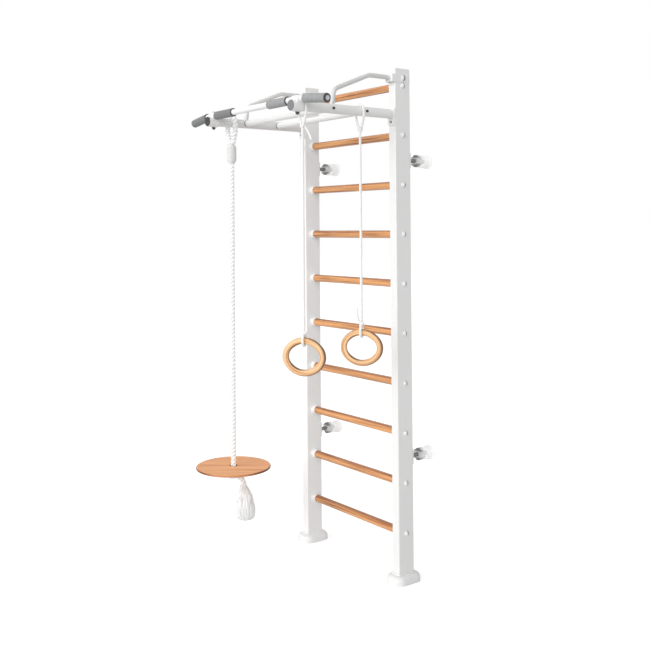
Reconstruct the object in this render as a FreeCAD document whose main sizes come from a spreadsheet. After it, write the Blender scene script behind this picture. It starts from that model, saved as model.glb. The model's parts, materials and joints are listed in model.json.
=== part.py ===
# Wall bars: two steel uprights with ten wooden rungs, held off a wall by screw spindles with star
# knobs, a pull-up unit on their front, and a disc swing and two gymnastic rings hanging from it.
# Millimetres. +Z is up, +Y points into the wall and the front faces -Y. The origin lies where the
# wall meets the floor, midway between the uprights.

import FreeCAD
import Part
import Sketcher
import math
import os
import re

Vector = FreeCAD.Vector
Rotation = FreeCAD.Rotation
Placement = FreeCAD.Placement

# Driving dimensions

SIZES = {
    # Clearances shared by all pieces
    "fit_gap": 0.2,
    "hang_gap": 0.4,
    "overrun": 5,
    # Uprights
    "inner_width": 580,
    "upright_width": 40,
    "upright_depth": 80,
    "upright_wall": 2,
    "upright_corner": 4,
    "frame_height": 2065,
    "stand_off": 110,
    # Top caps
    "top_cap_plate": 4,
    "top_cap_edge": 1,
    "top_cap_plug": 20,
    "top_cap_wall": 2,
    # Feet
    "foot_margin": 29,
    "foot_corner": 40,
    "foot_shell": 34,
    "foot_taper": 3,
    "foot_shoulder": 20,
    "foot_rim_height": 6,
    "foot_rim_wall": 5,
    "foot_rim_edge": 1.5,
    "foot_floor": 5,
    # Rungs
    "rung_count": 10,
    "top_rung_drop": 70,
    "first_rung_height": 195,
    "rung_diameter": 32,
    "rung_edge": 1.5,
    "collar_diameter": 40,
    "collar_length": 23,
    "collar_edge": 2,
    "rung_bolt_diameter": 8,
    "rung_bolt_depth": 45,
    "rung_cap_diameter": 22,
    "rung_cap_rise": 9,
    # Arms of the pull-up unit
    "arm_drop": 185,
    "arm_reach": 535,
    "arm_diameter": 38,
    "arm_wall": 2.5,
    "arm_plate": 5,
    "arm_plate_height": 70,
    "arm_plate_drop": 10,
    "plate_bolt_drop": 32,
    "plate_bolt_diameter": 8,
    "plate_bolt_head": 9.5,
    "plate_bolt_rise": 5,
    "end_cap_diameter": 40,
    "end_cap_plate": 4,
    "end_cap_edge": 1.2,
    "end_cap_plug": 20,
    "end_cap_slot": 2,
    "end_cap_slot_depth": 1.2,
    "end_cap_slot_count": 6,
    # Cross tubes
    "front_cross_reach": 352,
    "rear_cross_reach": 187,
    "cross_diameter": 25,
    "cross_wall": 2,
    "insert_length": 24,
    "cross_bolt_diameter": 8,
    "cross_bolt_head": 11,
    "cross_bolt_rise": 5,
    # Pull-up bar
    "bar_reach": 507,
    "bar_rise": 24,
    "bar_diameter": 25,
    "bar_wall": 2.5,
    "bar_straight": 345,
    "bar_half": 487,
    "bar_end_drop": 15,
    "bar_end_set_back": 6,
    "bar_bend": 60,
    "bar_plug_depth": 18,
    "bar_plug_plate": 2,
    "bar_plug_dish": 14,
    "bar_plug_dish_depth": 1.2,
    "grip_diameter": 35,
    "outer_grip_start": 357,
    "left_grip_start": 145,
    "left_grip_length": 138,
    "right_grip_start": 121,
    "right_grip_length": 129,
    # Clamps that seat the bar on the arms
    "clamp_wall": 4,
    "clamp_length": 43.5,
    "clamp_behind_bar": 15.5,
    "yoke_wall": 3,
    "yoke_length": 46,
    "clamp_bolt_diameter": 8,
    "clamp_head_diameter": 16,
    "clamp_head_rise": 4,
    "clamp_nut_diameter": 15,
    "clamp_nut_rise": 11,
    # Braces and the brackets round the uprights' tops
    "brace_diameter": 19,
    "brace_wall": 2,
    "brace_drop": 38,
    "brace_knee_reach": 160,
    "brace_elbow_reach": 335,
    "brace_elbow_rise": 77,
    "brace_foot_reach": 347,
    "brace_knee_bend": 70,
    "brace_elbow_bend": 34,
    "bracket_wall": 2.5,
    "bracket_strap_drop": 18,
    "bracket_strap_height": 31,
    "bracket_front_gap": 15,
    "bracket_side_length": 94,
    "bracket_corner": 4,
    "bracket_bolt_set_back": 3,
    "bracket_bolt_diameter": 10,
    "bracket_head_diameter": 26,
    "bracket_head_rise": 7,
    "bracket_nut_diameter": 17,
    "bracket_nut_rise": 8,
    "spigot_length": 30,
    "set_screw_set_out": 9,
    "set_screw_diameter": 6,
    "set_screw_head": 8,
    "set_screw_rise": 5,
    # Wall fixings
    "lower_fixing_height": 495,
    "upper_fixing_drop": 370,
    "back_plate_width": 36,
    "back_plate_margin": 8.5,
    "back_plate_thickness": 4,
    "back_plate_corner": 6,
    "plate_screw_spacing": 48,
    "plate_screw_diameter": 5,
    "plate_screw_length": 14,
    "plate_screw_head": 9,
    "plate_screw_rise": 2.5,
    "spindle_diameter": 16,
    "spindle_base_diameter": 30,
    "spindle_base": 6,
    "knob_set_back": 41,
    "knob_diameter": 50,
    "knob_rim": 24,
    "knob_lobes": 6,
    "knob_flute_diameter": 15,
    "knob_flute_depth": 4,
    "knob_edge": 2,
    "knob_hub_diameter": 34,
    "knob_hub": 8,
    "flange_diameter": 62,
    "flange_base": 5,
    "flange_cup_depth": 35,
    "flange_cup_diameter": 58,
    "flange_cup_wall": 3,
    "flange_hub_diameter": 27,
    "flange_hub": 16,
    "flange_hole_circle": 39,
    "flange_hole_diameter": 5.5,
    "flange_hole_count": 4,
    # Disc swing on the left arm
    "swing_reach": 419,
    "rope_diameter": 24,
    "loop_corner_drop": 42,
    "loop_tail_drop": 87,
    "binding_drop": 90,
    "binding_radius": 21,
    "binding_length": 84,
    "binding_taper": 12,
    "disc_top": 403,
    "disc_thickness": 10,
    "disc_diameter": 320,
    "disc_hole": 28,
    "disc_edge": 4,
    "stopper_radius": 28,
    "stopper_sink": 6,
    "tassel_drop": 109,
    "tassel_length": 109,
    "tassel_width": 82,
    "tassel_shift": 50,
    # Gymnastic rings on the right arm
    "front_ring_reach": 484,
    "rear_ring_reach": 207,
    "front_ring_height": 944,
    "rear_ring_height": 955,
    "ring_width": 174,
    "ring_tallness": 145,
    "ring_band": 25,
    "ring_thickness": 19,
    "ring_edge": 9,
    "ring_end_radius": 60,
    "ring_turn_angle": 32,
    "cord_diameter": 10,
    "loop_knot_drop": 71,
    "knot_radius": 11,
    "loop_neck": 5.6,
    "front_knot_rise": 14,
    "rear_knot_rise": 20,
    "ring_knot_radius": 10,
}

# Places that follow from the driving dimensions

PLACES = {
    "upright_x": "(inner_width + upright_width) / 2",
    "inner_face": "inner_width / 2",
    "outer_face": "inner_width / 2 + upright_width",
    "frame_y": "-(stand_off + upright_depth / 2)",
    "front_face": "frame_y - upright_depth / 2",
    "tube_top": "frame_height - top_cap_plate",
    "arm_height": "frame_height - arm_drop",
    "brace_height": "frame_height - brace_drop",
    "brace_elbow_height": "arm_height + brace_elbow_rise",
    "bracket_bottom": "brace_height - bracket_strap_drop",
    "upper_fixing_height": "frame_height - upper_fixing_drop",
    "foot_height": "foot_shell + foot_rim_height",
    "tube_inner_width": "upright_width - 2 * upright_wall",
    "tube_inner_depth": "upright_depth - 2 * upright_wall",
    "tube_inner_corner": "upright_corner - upright_wall",
    "foot_width": "upright_width + 2 * foot_margin",
    "foot_depth": "upright_depth + 2 * foot_margin",
    "rim_width": "upright_width + 2 * foot_rim_wall",
    "rim_depth": "upright_depth + 2 * foot_rim_wall",
    "rim_corner": "upright_corner + foot_rim_wall",
    "socket_width": "upright_width + 2 * fit_gap",
    "socket_depth": "upright_depth + 2 * fit_gap",
    "socket_corner": "upright_corner + fit_gap",
    "rung_pitch": "(frame_height - top_rung_drop - first_rung_height) / (rung_count - 1)",
    "top_rung_height": "first_rung_height + (rung_count - 1) * rung_pitch",
    "arm_y": "frame_y - arm_reach",
    "arm_back": "front_face - arm_plate",
    "arm_radius": "arm_diameter / 2",
    "front_cross_y": "frame_y - front_cross_reach",
    "rear_cross_y": "frame_y - rear_cross_reach",
    "bar_y": "frame_y - bar_reach",
    "bar_z": "arm_height + bar_rise",
    "clamp_y": "bar_y + clamp_behind_bar - clamp_length",
    "clamp_bottom": "arm_height - arm_radius - clamp_wall",
    "yoke_top": "bar_z + bar_diameter / 2 + yoke_wall",
    "bracket_y": "front_face - bracket_front_gap",
    "bracket_front": "bracket_y - bracket_wall",
    "bracket_side": "outer_face + bracket_wall",
    "bracket_inner_side": "inner_width / 2 - bracket_wall",
    "bracket_bolt_y": "frame_y + bracket_bolt_set_back",
    "back_plate_height": "plate_screw_spacing + 2 * back_plate_margin",
    "plate_back": "-(stand_off - back_plate_thickness)",
    "knob_y": "knob_set_back - stand_off",
    "knob_back": "knob_y + knob_rim + knob_hub",
    "cup_y": "-flange_cup_depth",
    "swing_y": "frame_y - swing_reach",
    "loop_tail_end": "arm_height - loop_tail_drop",
    "binding_top": "arm_height - binding_drop",
    "binding_pivot": "binding_top - binding_radius",
    "disc_bottom": "disc_top - disc_thickness",
    "tassel_top": "disc_bottom - tassel_drop",
    "tassel_bottom": "tassel_top - tassel_length",
    "front_ring_y": "frame_y - front_ring_reach",
    "rear_ring_y": "frame_y - rear_ring_reach",
    "loop_knot_height": "arm_height - loop_knot_drop",
}

doc = FreeCAD.newDocument("WallBars")
sizes = doc.addObject("Spreadsheet::Sheet", "Sizes")
places = doc.addObject("Spreadsheet::Sheet", "Places")
for row, (alias, number) in enumerate(SIZES.items(), 1):
    sizes.set(f"A{row}", alias)
    sizes.set(f"B{row}", str(number))
    sizes.setAlias(f"B{row}", alias)


def expression(text, sheet=None):
    """The text with each size or place named as a cell of its sheet."""
    def cell(found):
        word = found.group()
        if word in SIZES:
            return "Sizes." + word
        if word in PLACES and sheet is not places:
            return "Places." + word
        return word
    return re.sub(r"[a-z_]+", cell, text)


for row, (alias, formula) in enumerate(PLACES.items(), 1):
    places.set(f"A{row}", alias)
    places.set(f"B{row}", "=" + expression(formula, places))
    places.setAlias(f"B{row}", alias)
doc.recompute()


def size(alias):
    """The value of a driving dimension or of a place, for shapes that are made in code."""
    sheet = sizes if alias in SIZES else places
    return float(sheet.get(alias))


# Helpers that make bound objects

NODES = {}
ALONG = {
    "Z": Rotation(),
    "X": Rotation(Vector(0, 1, 0), 90),
    "-X": Rotation(Vector(0, 1, 0), -90),
    "Y": Rotation(Vector(1, 0, 0), -90),
    "-Y": Rotation(Vector(1, 0, 0), 90),
    "-Z": Rotation(Vector(1, 0, 0), 180),
}


def node(label, thing):
    """Name a finished sub-part and list it for writing."""
    thing.Label = label
    NODES[label] = thing
    return thing


def bind(thing, **formulas):
    for name, text in formulas.items():
        thing.setExpression(name, expression(text))
    return thing


def put(thing, x, y, z, along="Z"):
    """Turn an object to an axis and bind its place."""
    thing.Placement.Rotation = ALONG[along]
    for axis, text in zip("xyz", (x, y, z)):
        thing.setExpression("Placement.Base." + axis, expression(text))
    return thing


def rod(name, diameter, length, x, y, z, along="Z"):
    made = doc.addObject("Part::Cylinder", name)
    bind(made, Radius=f"({diameter}) / 2", Height=length)
    return put(made, x, y, z, along)


def cone(name, diameter, end_diameter, length, x, y, z, along="Z"):
    made = doc.addObject("Part::Cone", name)
    bind(made, Radius1=f"({diameter}) / 2", Radius2=f"({end_diameter}) / 2", Height=length)
    return put(made, x, y, z, along)


def block(name, width, depth, height, x, y, z):
    """A box centred on x and y that stands on z."""
    made = doc.addObject("Part::Box", name)
    bind(made, Length=width, Width=depth, Height=height)
    return put(made, f"{x} - ({width}) / 2", f"{y} - ({depth}) / 2", z)


def dome(name, diameter, rise, x, y, z, along="Z"):
    """A domed cap whose flat seat lies at the given place."""
    radius = f"((({diameter}) / 2) ^ 2 + ({rise}) ^ 2) / (2 * ({rise}))"
    made = doc.addObject("Part::Sphere", name)
    bind(made, Radius=radius, Angle1=f"asin(({radius} - ({rise})) / ({radius}))")
    centre = {"X": x, "Y": y, "Z": z}
    axis = along[-1]
    sign = "+" if along.startswith("-") else "-"
    centre[axis] = f"{centre[axis]} {sign} ({radius} - ({rise}))"
    return put(made, centre["X"], centre["Y"], centre["Z"], along)


def fuse(name, *solids):
    made = doc.addObject("Part::MultiFuse", name)
    made.Shapes = list(solids)
    return made


def cut(name, base, *tools):
    made = doc.addObject("Part::Cut", name)
    made.Base = base
    made.Tool = tools[0] if len(tools) == 1 else fuse(name + "_tools", *tools)
    return made


def group(label, *solids):
    made = doc.addObject("Part::Compound", label + "_group")
    made.Links = list(solids)
    return node(label, made)


def soften(name, base, radius, wanted, kind="Part::Fillet"):
    """Round or bevel the edges of a solid that a test picks."""
    doc.recompute()
    made = doc.addObject(kind, name)
    made.Base = base
    picked = [index for index, edge in enumerate(base.Shape.Edges, 1) if wanted(edge)]
    made.Edges = [(index, size(radius), size(radius)) for index in picked]
    return made


def solid(label, shape, placement=None):
    """A sub-part whose shape is made in code, placed after its shape is set."""
    made = doc.addObject("Part::Feature", label + "_shape")
    made.Shape = shape
    if placement:
        made.Placement = placement
    return made


def copies(label, master, spots):
    """A group of equal fasteners, each a solid of its own, from one bound master."""
    doc.recompute()
    shapes = []
    for spot in spots:
        piece = master.Shape.copy()
        piece.Placement = spot.multiply(piece.Placement)
        shapes.append(piece)
    return node(label, solid(label, Part.makeCompound(shapes)))


def is_round(edge, diameter):
    """Whether an edge is a full circle of the given diameter."""
    curve = edge.Curve
    return isinstance(curve, Part.Circle) and edge.isClosed() and abs(2 * curve.Radius - diameter) < TINY


TINY = 0.001
HALF_TURN = Rotation(Vector(0, 0, 1), 180)
MIRROR_X = Vector(1, 0, 0)


# Sketches

def plane(body, role):
    return next(item for item in body.Origin.OriginFeatures if item.Role == role)


def new_body(name):
    return doc.addObject("PartDesign::Body", name)


def new_sketch(body, name, role="XY_Plane", lift=None):
    made = body.newObject("Sketcher::SketchObject", name)
    made.AttachmentSupport = [(plane(body, role), "")]
    made.MapMode = "FlatFace"
    if lift:
        made.setExpression("AttachmentOffset.Base.z", expression(lift))
    return made


def fix(sketch, word, constraint, formula):
    """Add a dimension to a sketch and bind it."""
    index = sketch.addConstraint(constraint)
    name = f"{word}_{index}"
    sketch.renameConstraint(index, name)
    sketch.setExpression("Constraints." + name, expression(formula))


def draw_circle(sketch, diameter, across=None, up=None):
    """A circle at the sketch's origin, or at bound distances from it."""
    centre = Vector(size_of(across), size_of(up), 0)
    index = sketch.addGeometry(Part.Circle(centre, Vector(0, 0, 1), size("upright_corner")))
    if across is None and up is None:
        sketch.addConstraint(Sketcher.Constraint("Coincident", index, 3, -1, 1))
    else:
        across_rule = Sketcher.Constraint("DistanceX", -1, 1, index, 3, size_of(across))
        fix(sketch, "across", across_rule, across or "0")
        up_rule = Sketcher.Constraint("DistanceY", -1, 1, index, 3, size_of(up))
        fix(sketch, "up", up_rule, up or "0")
    fix(sketch, "diameter", Sketcher.Constraint("Diameter", index, 2), diameter)
    return index


def size_of(text):
    """A first guess for a sketch's geometry: the value when the text is one name."""
    return size(text) if text in SIZES or text in PLACES else 0


def draw_rounded_rectangle(sketch, width, depth, corner):
    """A rectangle with round corners, centred on the sketch's origin."""
    w, d, r = size(width) / 2, size(depth) / 2, size(corner)
    corners = [(w, d, 0), (-w, d, 90), (-w, -d, 180), (w, -d, 270)]
    first = sketch.GeometryCount
    for x, y, start in corners:
        centre = Vector(x - math.copysign(r, x), y - math.copysign(r, y), 0)
        circle = Part.Circle(centre, Vector(0, 0, 1), r)
        sketch.addGeometry(Part.ArcOfCircle(circle, math.radians(start), math.radians(start + 90)))
    ends = [((w - r, d), (r - w, d)), ((-w, d - r), (-w, r - d)),
            ((r - w, -d), (w - r, -d)), ((w, r - d), (w, d - r))]
    for (x1, y1), (x2, y2) in ends:
        sketch.addGeometry(Part.LineSegment(Vector(x1, y1, 0), Vector(x2, y2, 0)))
    for turn in range(4):
        arc = first + turn
        line = first + 4 + turn
        following = first + (turn + 1) % 4
        sketch.addConstraint(Sketcher.Constraint("Tangent", arc, 2, line, 1))
        sketch.addConstraint(Sketcher.Constraint("Tangent", line, 2, following, 1))
    for turn in range(3):
        sketch.addConstraint(Sketcher.Constraint("Equal", first, first + turn + 1))
    sketch.addConstraint(Sketcher.Constraint("Horizontal", first + 4))
    sketch.addConstraint(Sketcher.Constraint("Vertical", first + 5))
    sketch.addConstraint(Sketcher.Constraint("Symmetric", first, 3, first + 2, 3, -1, 1))
    fix(sketch, "width", Sketcher.Constraint("DistanceX", first + 5, 1, first + 7, 1, 2 * w), width)
    fix(sketch, "depth", Sketcher.Constraint("DistanceY", first + 6, 1, first + 4, 1, 2 * d), depth)
    fix(sketch, "corner", Sketcher.Constraint("Radius", first, r), corner)


def pad(body, sketch, length, name, **settings):
    made = body.newObject("PartDesign::Pad", name)
    made.Profile = sketch
    made.setExpression("Length", expression(length))
    for key, value in settings.items():
        setattr(made, key, value)
    return made


def pocket(body, sketch, length, name, side="Symmetric", reverse=False):
    """Cut a sketch into a body. The volume has to fall, so that a cut that misses is noticed."""
    doc.recompute()
    before = body.Shape.Volume
    made = body.newObject("PartDesign::Pocket", name)
    made.Profile = sketch
    made.SideType = side
    made.Reversed = reverse
    made.setExpression("Length", expression(length))
    doc.recompute()
    if body.Shape.Volume >= before:
        raise ValueError(name + " cuts nothing")
    return made


# Routes and tubes

CORNER_SHARE = 0.45


def route_edges(points, radii=None):
    """Straight runs joined by tangent arcs. Without radii each arc is as large as its runs allow."""
    edges = []
    found = []
    start = points[0]
    for index in range(1, len(points) - 1):
        before, corner, after = points[index - 1], points[index], points[index + 1]
        into = Vector(corner - before).normalize()
        out = Vector(after - corner).normalize()
        half = into.getAngle(out) / 2
        shorter = min((corner - before).Length, (after - corner).Length)
        reach = radii[index - 1] * math.tan(half) if radii else CORNER_SHARE * shorter
        radius = reach / math.tan(half)
        found.append(round(radius, 1))
        inward = Vector(out - into).normalize()
        first = corner - into * reach
        middle = corner + inward * (radius / math.cos(half) - radius)
        last = corner + out * reach
        edges.append(Part.LineSegment(start, first).toShape())
        edges.append(Part.Arc(first, middle, last).toShape())
        start = last
    edges.append(Part.LineSegment(start, points[-1]).toShape())
    return edges, found


def sweep(edges, diameter):
    """A round solid along edges that join smoothly."""
    wire = Part.Wire(edges)
    first = wire.OrderedEdges[0]
    start = first.valueAt(first.FirstParameter)
    way = first.tangentAt(first.FirstParameter)
    section = Part.Wire([Part.Circle(start, way, diameter / 2).toShape()])
    return wire.makePipeShell([section], True, False)


def rope(label, edges, diameter, radii=None):
    """A rope's solid. Its volume is compared with its section times its length."""
    shape = sweep(edges, diameter)
    length = sum(edge.Length for edge in edges)
    expected = math.pi * diameter ** 2 / 4 * length
    print(f"{label}: length {length:.1f}, volume share {shape.Volume / expected:.5f}, radii {radii or ''}")
    return shape


def steel_tube(edges, diameter, wall):
    """A bent hollow tube."""
    return sweep(edges, diameter).cut(sweep(edges, diameter - 2 * wall))


SIDES = (("left", "-"), ("right", ""))
CAMERA_SIDE = Vector(0.6, 0.8, 0)


# Uprights with their drilled holes

def make_upright(side, sign):
    body = new_body(side + "_upright_body")
    profile = new_sketch(body, side + "_upright_section")
    draw_rounded_rectangle(profile, "upright_width", "upright_depth", "upright_corner")
    draw_rounded_rectangle(profile, "tube_inner_width", "tube_inner_depth", "tube_inner_corner")
    pad(body, profile, "tube_top - foot_floor", side + "_upright_tube")
    holes = new_sketch(body, side + "_rung_hole", "YZ_Plane")
    draw_circle(holes, "rung_bolt_diameter + 2 * fit_gap", None, "first_rung_height - foot_floor")
    drilled = pocket(body, holes, "2 * upright_width", side + "_rung_hole_cut")
    row = body.newObject("PartDesign::LinearPattern", side + "_rung_hole_row")
    row.Originals = [drilled]
    row.Direction = (holes, ["V_Axis"])
    bind(row, Length="(rung_count - 1) * rung_pitch", Occurrences="rung_count")
    body.Tip = row
    strap = new_sketch(body, side + "_bracket_hole", "YZ_Plane")
    draw_circle(strap, "bracket_bolt_diameter + 2 * fit_gap", "bracket_bolt_set_back", "brace_height - foot_floor")
    pocket(body, strap, "2 * upright_width", side + "_bracket_hole_cut")
    put(body, sign + "upright_x", "frame_y", "foot_floor")
    front = rod(side + "_arm_bolt_hole", "plate_bolt_diameter + 2 * fit_gap", "upright_depth / 2",
                sign + "upright_x", "frame_y", "arm_height - plate_bolt_drop", "-Y")
    tools = [front]
    for height in ("lower_fixing_height", "upper_fixing_height"):
        for way in ("+", "-"):
            tools.append(rod(side + "_plate_screw_hole", "plate_screw_diameter", "upright_depth / 2",
                             sign + "upright_x", "frame_y", f"{height} {way} plate_screw_spacing / 2", "Y"))
    node(side + "_upright", cut(side + "_upright_drilled", body, *tools))


for side, sign in SIDES:
    make_upright(side, sign)


# Top caps

def make_top_cap(side, sign):
    plate = block(side + "_cap_plate", "upright_width", "upright_depth", "top_cap_plate",
                  sign + "upright_x", "frame_y", "tube_top")
    plug = block(side + "_cap_plug", "upright_width - 2 * (upright_wall + fit_gap)",
                 "upright_depth - 2 * (upright_wall + fit_gap)", "top_cap_plug",
                 sign + "upright_x", "frame_y", "tube_top - top_cap_plug")
    plug = soften(side + "_cap_plug_corners", plug, "upright_wall",
                  lambda edge: abs(edge.tangentAt(0).z) > 0.5)
    hollow = block(side + "_cap_hollow", "upright_width - 2 * (upright_wall + fit_gap + top_cap_wall)",
                   "upright_depth - 2 * (upright_wall + fit_gap + top_cap_wall)", "top_cap_plug",
                   sign + "upright_x", "frame_y", "tube_top - top_cap_plug")
    plate = soften(side + "_cap_corners", plate, "upright_corner", lambda edge: abs(edge.tangentAt(0).z) > 0.5)
    top = size("frame_height")
    plate = soften(side + "_cap_edge", plate, "top_cap_edge",
                   lambda edge: all(abs(vertex.Z - top) < TINY for vertex in edge.Vertexes))
    return cut(side + "_top_cap", fuse(side + "_cap_body", plate, plug), hollow)


group("top_caps", *[make_top_cap(side, sign) for side, sign in SIDES])


# Feet: a moulded shoe with a rounded shoulder, a rim round the tube and a blind socket

def make_foot(side, sign):
    body = new_body(side + "_foot_body")
    base = new_sketch(body, side + "_foot_base")
    draw_rounded_rectangle(base, "foot_width", "foot_depth", "foot_corner")
    shell = pad(body, base, "foot_shell", side + "_foot_shell")
    shell.setExpression("TaperAngle", expression("-foot_taper"))
    doc.recompute()
    top = size("foot_shell")
    names = [f"Edge{index}" for index, edge in enumerate(shell.Shape.Edges, 1)
             if all(abs(vertex.Z - top) < TINY for vertex in edge.Vertexes)]
    shoulder = body.newObject("PartDesign::Fillet", side + "_foot_shoulder")
    shoulder.Base = (shell, names)
    shoulder.setExpression("Radius", expression("foot_shoulder"))
    rim = new_sketch(body, side + "_foot_rim", lift="foot_shell - foot_rim_edge")
    draw_rounded_rectangle(rim, "rim_width", "rim_depth", "rim_corner")
    raised = pad(body, rim, "foot_rim_height + foot_rim_edge", side + "_foot_rim_pad")
    doc.recompute()
    height = size("foot_height")
    names = [f"Edge{index}" for index, edge in enumerate(raised.Shape.Edges, 1)
             if all(abs(vertex.Z - height) < TINY for vertex in edge.Vertexes)]
    edge = body.newObject("PartDesign::Fillet", side + "_foot_rim_round")
    edge.Base = (raised, names)
    edge.setExpression("Radius", expression("foot_rim_edge"))
    socket = new_sketch(body, side + "_foot_socket", lift="foot_floor")
    draw_rounded_rectangle(socket, "socket_width", "socket_depth", "socket_corner")
    pocket(body, socket, "foot_height", side + "_foot_socket_cut", "One side", True)
    node(side + "_foot", put(body, sign + "upright_x", "frame_y", "0"))


for side, sign in SIDES:
    make_foot(side, sign)


# Rungs, their collars and their bolts

def make_rung(number):
    height = f"first_rung_height + {number} * rung_pitch"
    bar = rod(f"rung_bar_{number}", "rung_diameter", "inner_width", "-inner_width / 2", "frame_y", height, "X")
    bore = "rung_bolt_diameter + 2 * fit_gap"
    bores = [rod(f"rung_bore_{number}", bore, "rung_bolt_depth + fit_gap",
                 "-inner_width / 2", "frame_y", height, "X"),
             rod(f"rung_bore_{number}", bore, "rung_bolt_depth + fit_gap",
                 "inner_width / 2", "frame_y", height, "-X")]
    bored = cut(f"rung_bored_{number}", bar, *bores)
    diameter = size("rung_diameter")
    node(f"rung_{number + 1:02d}", soften(f"rung_{number}_ends", bored, "rung_edge",
                                          lambda edge: is_round(edge, diameter), "Part::Chamfer"))


for number in range(int(size("rung_count"))):
    make_rung(number)


def make_collar():
    ring = rod("collar_ring", "collar_diameter", "collar_length", "0", "0", "0", "-X")
    diameter = size("collar_diameter")
    length = size("collar_length")
    ring = soften("collar_round", ring, "collar_edge",
                  lambda edge: is_round(edge, diameter) and abs(edge.CenterOfMass.x + length) < TINY)
    return cut("collar_master", ring, rod("collar_bore", "rung_diameter + 2 * fit_gap",
                                          "collar_length + 2 * overrun", "overrun", "0", "0", "-X"))


def make_rung_bolt():
    """A bolt from outside: its domed cap sits on the upright and its shank ends in the rung."""
    shank = rod("rung_shank", "rung_bolt_diameter", "upright_width + rung_bolt_depth", "0", "0", "0", "-X")
    return fuse("rung_bolt_master", shank, dome("rung_cap", "rung_cap_diameter", "rung_cap_rise", "0", "0", "0", "X"))


def rung_spots(reach):
    """Both ends of every rung, for a piece that is made pointing inwards on the right."""
    spots = []
    for number in range(int(size("rung_count"))):
        height = size("first_rung_height") + number * size("rung_pitch")
        spots.append(Placement(Vector(size(reach), size("frame_y"), height), Rotation()))
        spots.append(Placement(Vector(-size(reach), size("frame_y"), height), HALF_TURN))
    return spots


copies("rung_collars", make_collar(), rung_spots("inner_face"))
copies("rung_bolts", make_rung_bolt(), rung_spots("outer_face"))


# Arms with the plates welded to their backs

def make_arm(side, sign):
    x = sign + "upright_x"
    tube = rod(side + "_arm_tube", "arm_diameter", "arm_back - arm_y", x, "arm_y", "arm_height", "Y")
    tools = [rod(side + "_arm_bore", "arm_diameter - 2 * arm_wall", "arm_back - arm_y + 2 * overrun",
                 x, "arm_y - overrun", "arm_height", "Y"),
             rod(side + "_bar_seat", "bar_diameter + 2 * fit_gap", "2 * arm_diameter",
                 x + " - arm_diameter", "bar_y", "bar_z", "X"),
             rod(side + "_clamp_bolt_hole", "clamp_bolt_diameter + 2 * fit_gap", "2 * arm_diameter",
                 x, "bar_y", "arm_height - arm_diameter", "Z")]
    for place in ("front_cross_y", "rear_cross_y"):
        tools.append(rod(side + "_cross_bolt_hole", "cross_bolt_diameter + 2 * fit_gap", "2 * arm_diameter",
                         x + " - arm_diameter", place, "arm_height", "X"))
    node(side + "_arm", cut(side + "_arm_drilled", tube, *tools))


def make_arm_plate(side, sign):
    x = sign + "upright_x"
    bottom = "arm_height - arm_plate_height / 2 - arm_plate_drop"
    plate = block(side + "_arm_plate_blank", "upright_width", "arm_plate", "arm_plate_height",
                  x, "front_face - arm_plate / 2", bottom)
    plate = soften(side + "_arm_plate_corners", plate, "upright_corner",
                   lambda edge: abs(edge.tangentAt(0).y) > 0.5)
    hole = rod(side + "_arm_plate_hole", "plate_bolt_diameter + 2 * fit_gap", "arm_plate + 2 * overrun",
               x, "front_face - arm_plate - overrun", "arm_height - plate_bolt_drop", "Y")
    return cut(side + "_arm_plate", plate, hole)


for side, sign in SIDES:
    make_arm(side, sign)
group("arm_plates", *[make_arm_plate(side, sign) for side, sign in SIDES])


def hex_bolt(name, diameter, length, head, rise, x, y, z, along):
    """A bolt whose hexagon head stands outwards from its seat. Along points into the hole."""
    opposite = along[1:] if along.startswith("-") else "-" + along
    shank = rod(name + "_shank", diameter, length, x, y, z, along)
    cap = doc.addObject("Part::Prism", name + "_head")
    bind(cap, Circumradius=f"({head}) / 2", Height=rise)
    cap.Polygon = 6
    return fuse(name, shank, put(cap, x, y, z, opposite))


group("arm_plate_bolts", *[
    hex_bolt(side + "_plate_bolt", "plate_bolt_diameter", "arm_plate + upright_wall + upright_width / 2",
             "plate_bolt_head", "plate_bolt_rise", sign + "upright_x", "front_face - arm_plate",
             "arm_height - plate_bolt_drop", "Y") for side, sign in SIDES])


# End caps of the arms, with slots across their faces

def make_end_cap(side, sign):
    x = sign + "upright_x"
    rim = rod(side + "_end_cap_rim", "end_cap_diameter", "end_cap_plate", x, "arm_y", "arm_height", "-Y")
    diameter = size("end_cap_diameter")
    face = size("arm_y") - size("end_cap_plate")
    rim = soften(side + "_end_cap_round", rim, "end_cap_edge",
                 lambda edge: is_round(edge, diameter) and abs(edge.CenterOfMass.y - face) < TINY)
    plug = rod(side + "_end_cap_plug", "arm_diameter - 2 * (arm_wall + fit_gap)",
               "end_cap_plug", x, "arm_y", "arm_height", "Y")
    seat = rod(side + "_end_cap_seat", "bar_diameter + 4 * fit_gap", "2 * arm_diameter",
               x + " - arm_diameter", "bar_y", "bar_z", "X")
    slots = []
    for index in range(int(size("end_cap_slot_count"))):
        shift = f"({index} - (end_cap_slot_count - 1) / 2) * end_cap_diameter / (end_cap_slot_count + 1)"
        slots.append(block(side + "_end_cap_slot", "end_cap_slot", "2 * end_cap_slot_depth", "2 * end_cap_diameter",
                           f"{x} + {shift}", "arm_y - end_cap_plate", "arm_height - end_cap_diameter"))
    return cut(side + "_end_cap", fuse(side + "_end_cap_body", rim, plug), seat, *slots)


group("arm_end_caps", *[make_end_cap(side, sign) for side, sign in SIDES])


# Cross tubes between the arms, the threaded inserts in their ends, and their bolts

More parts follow.
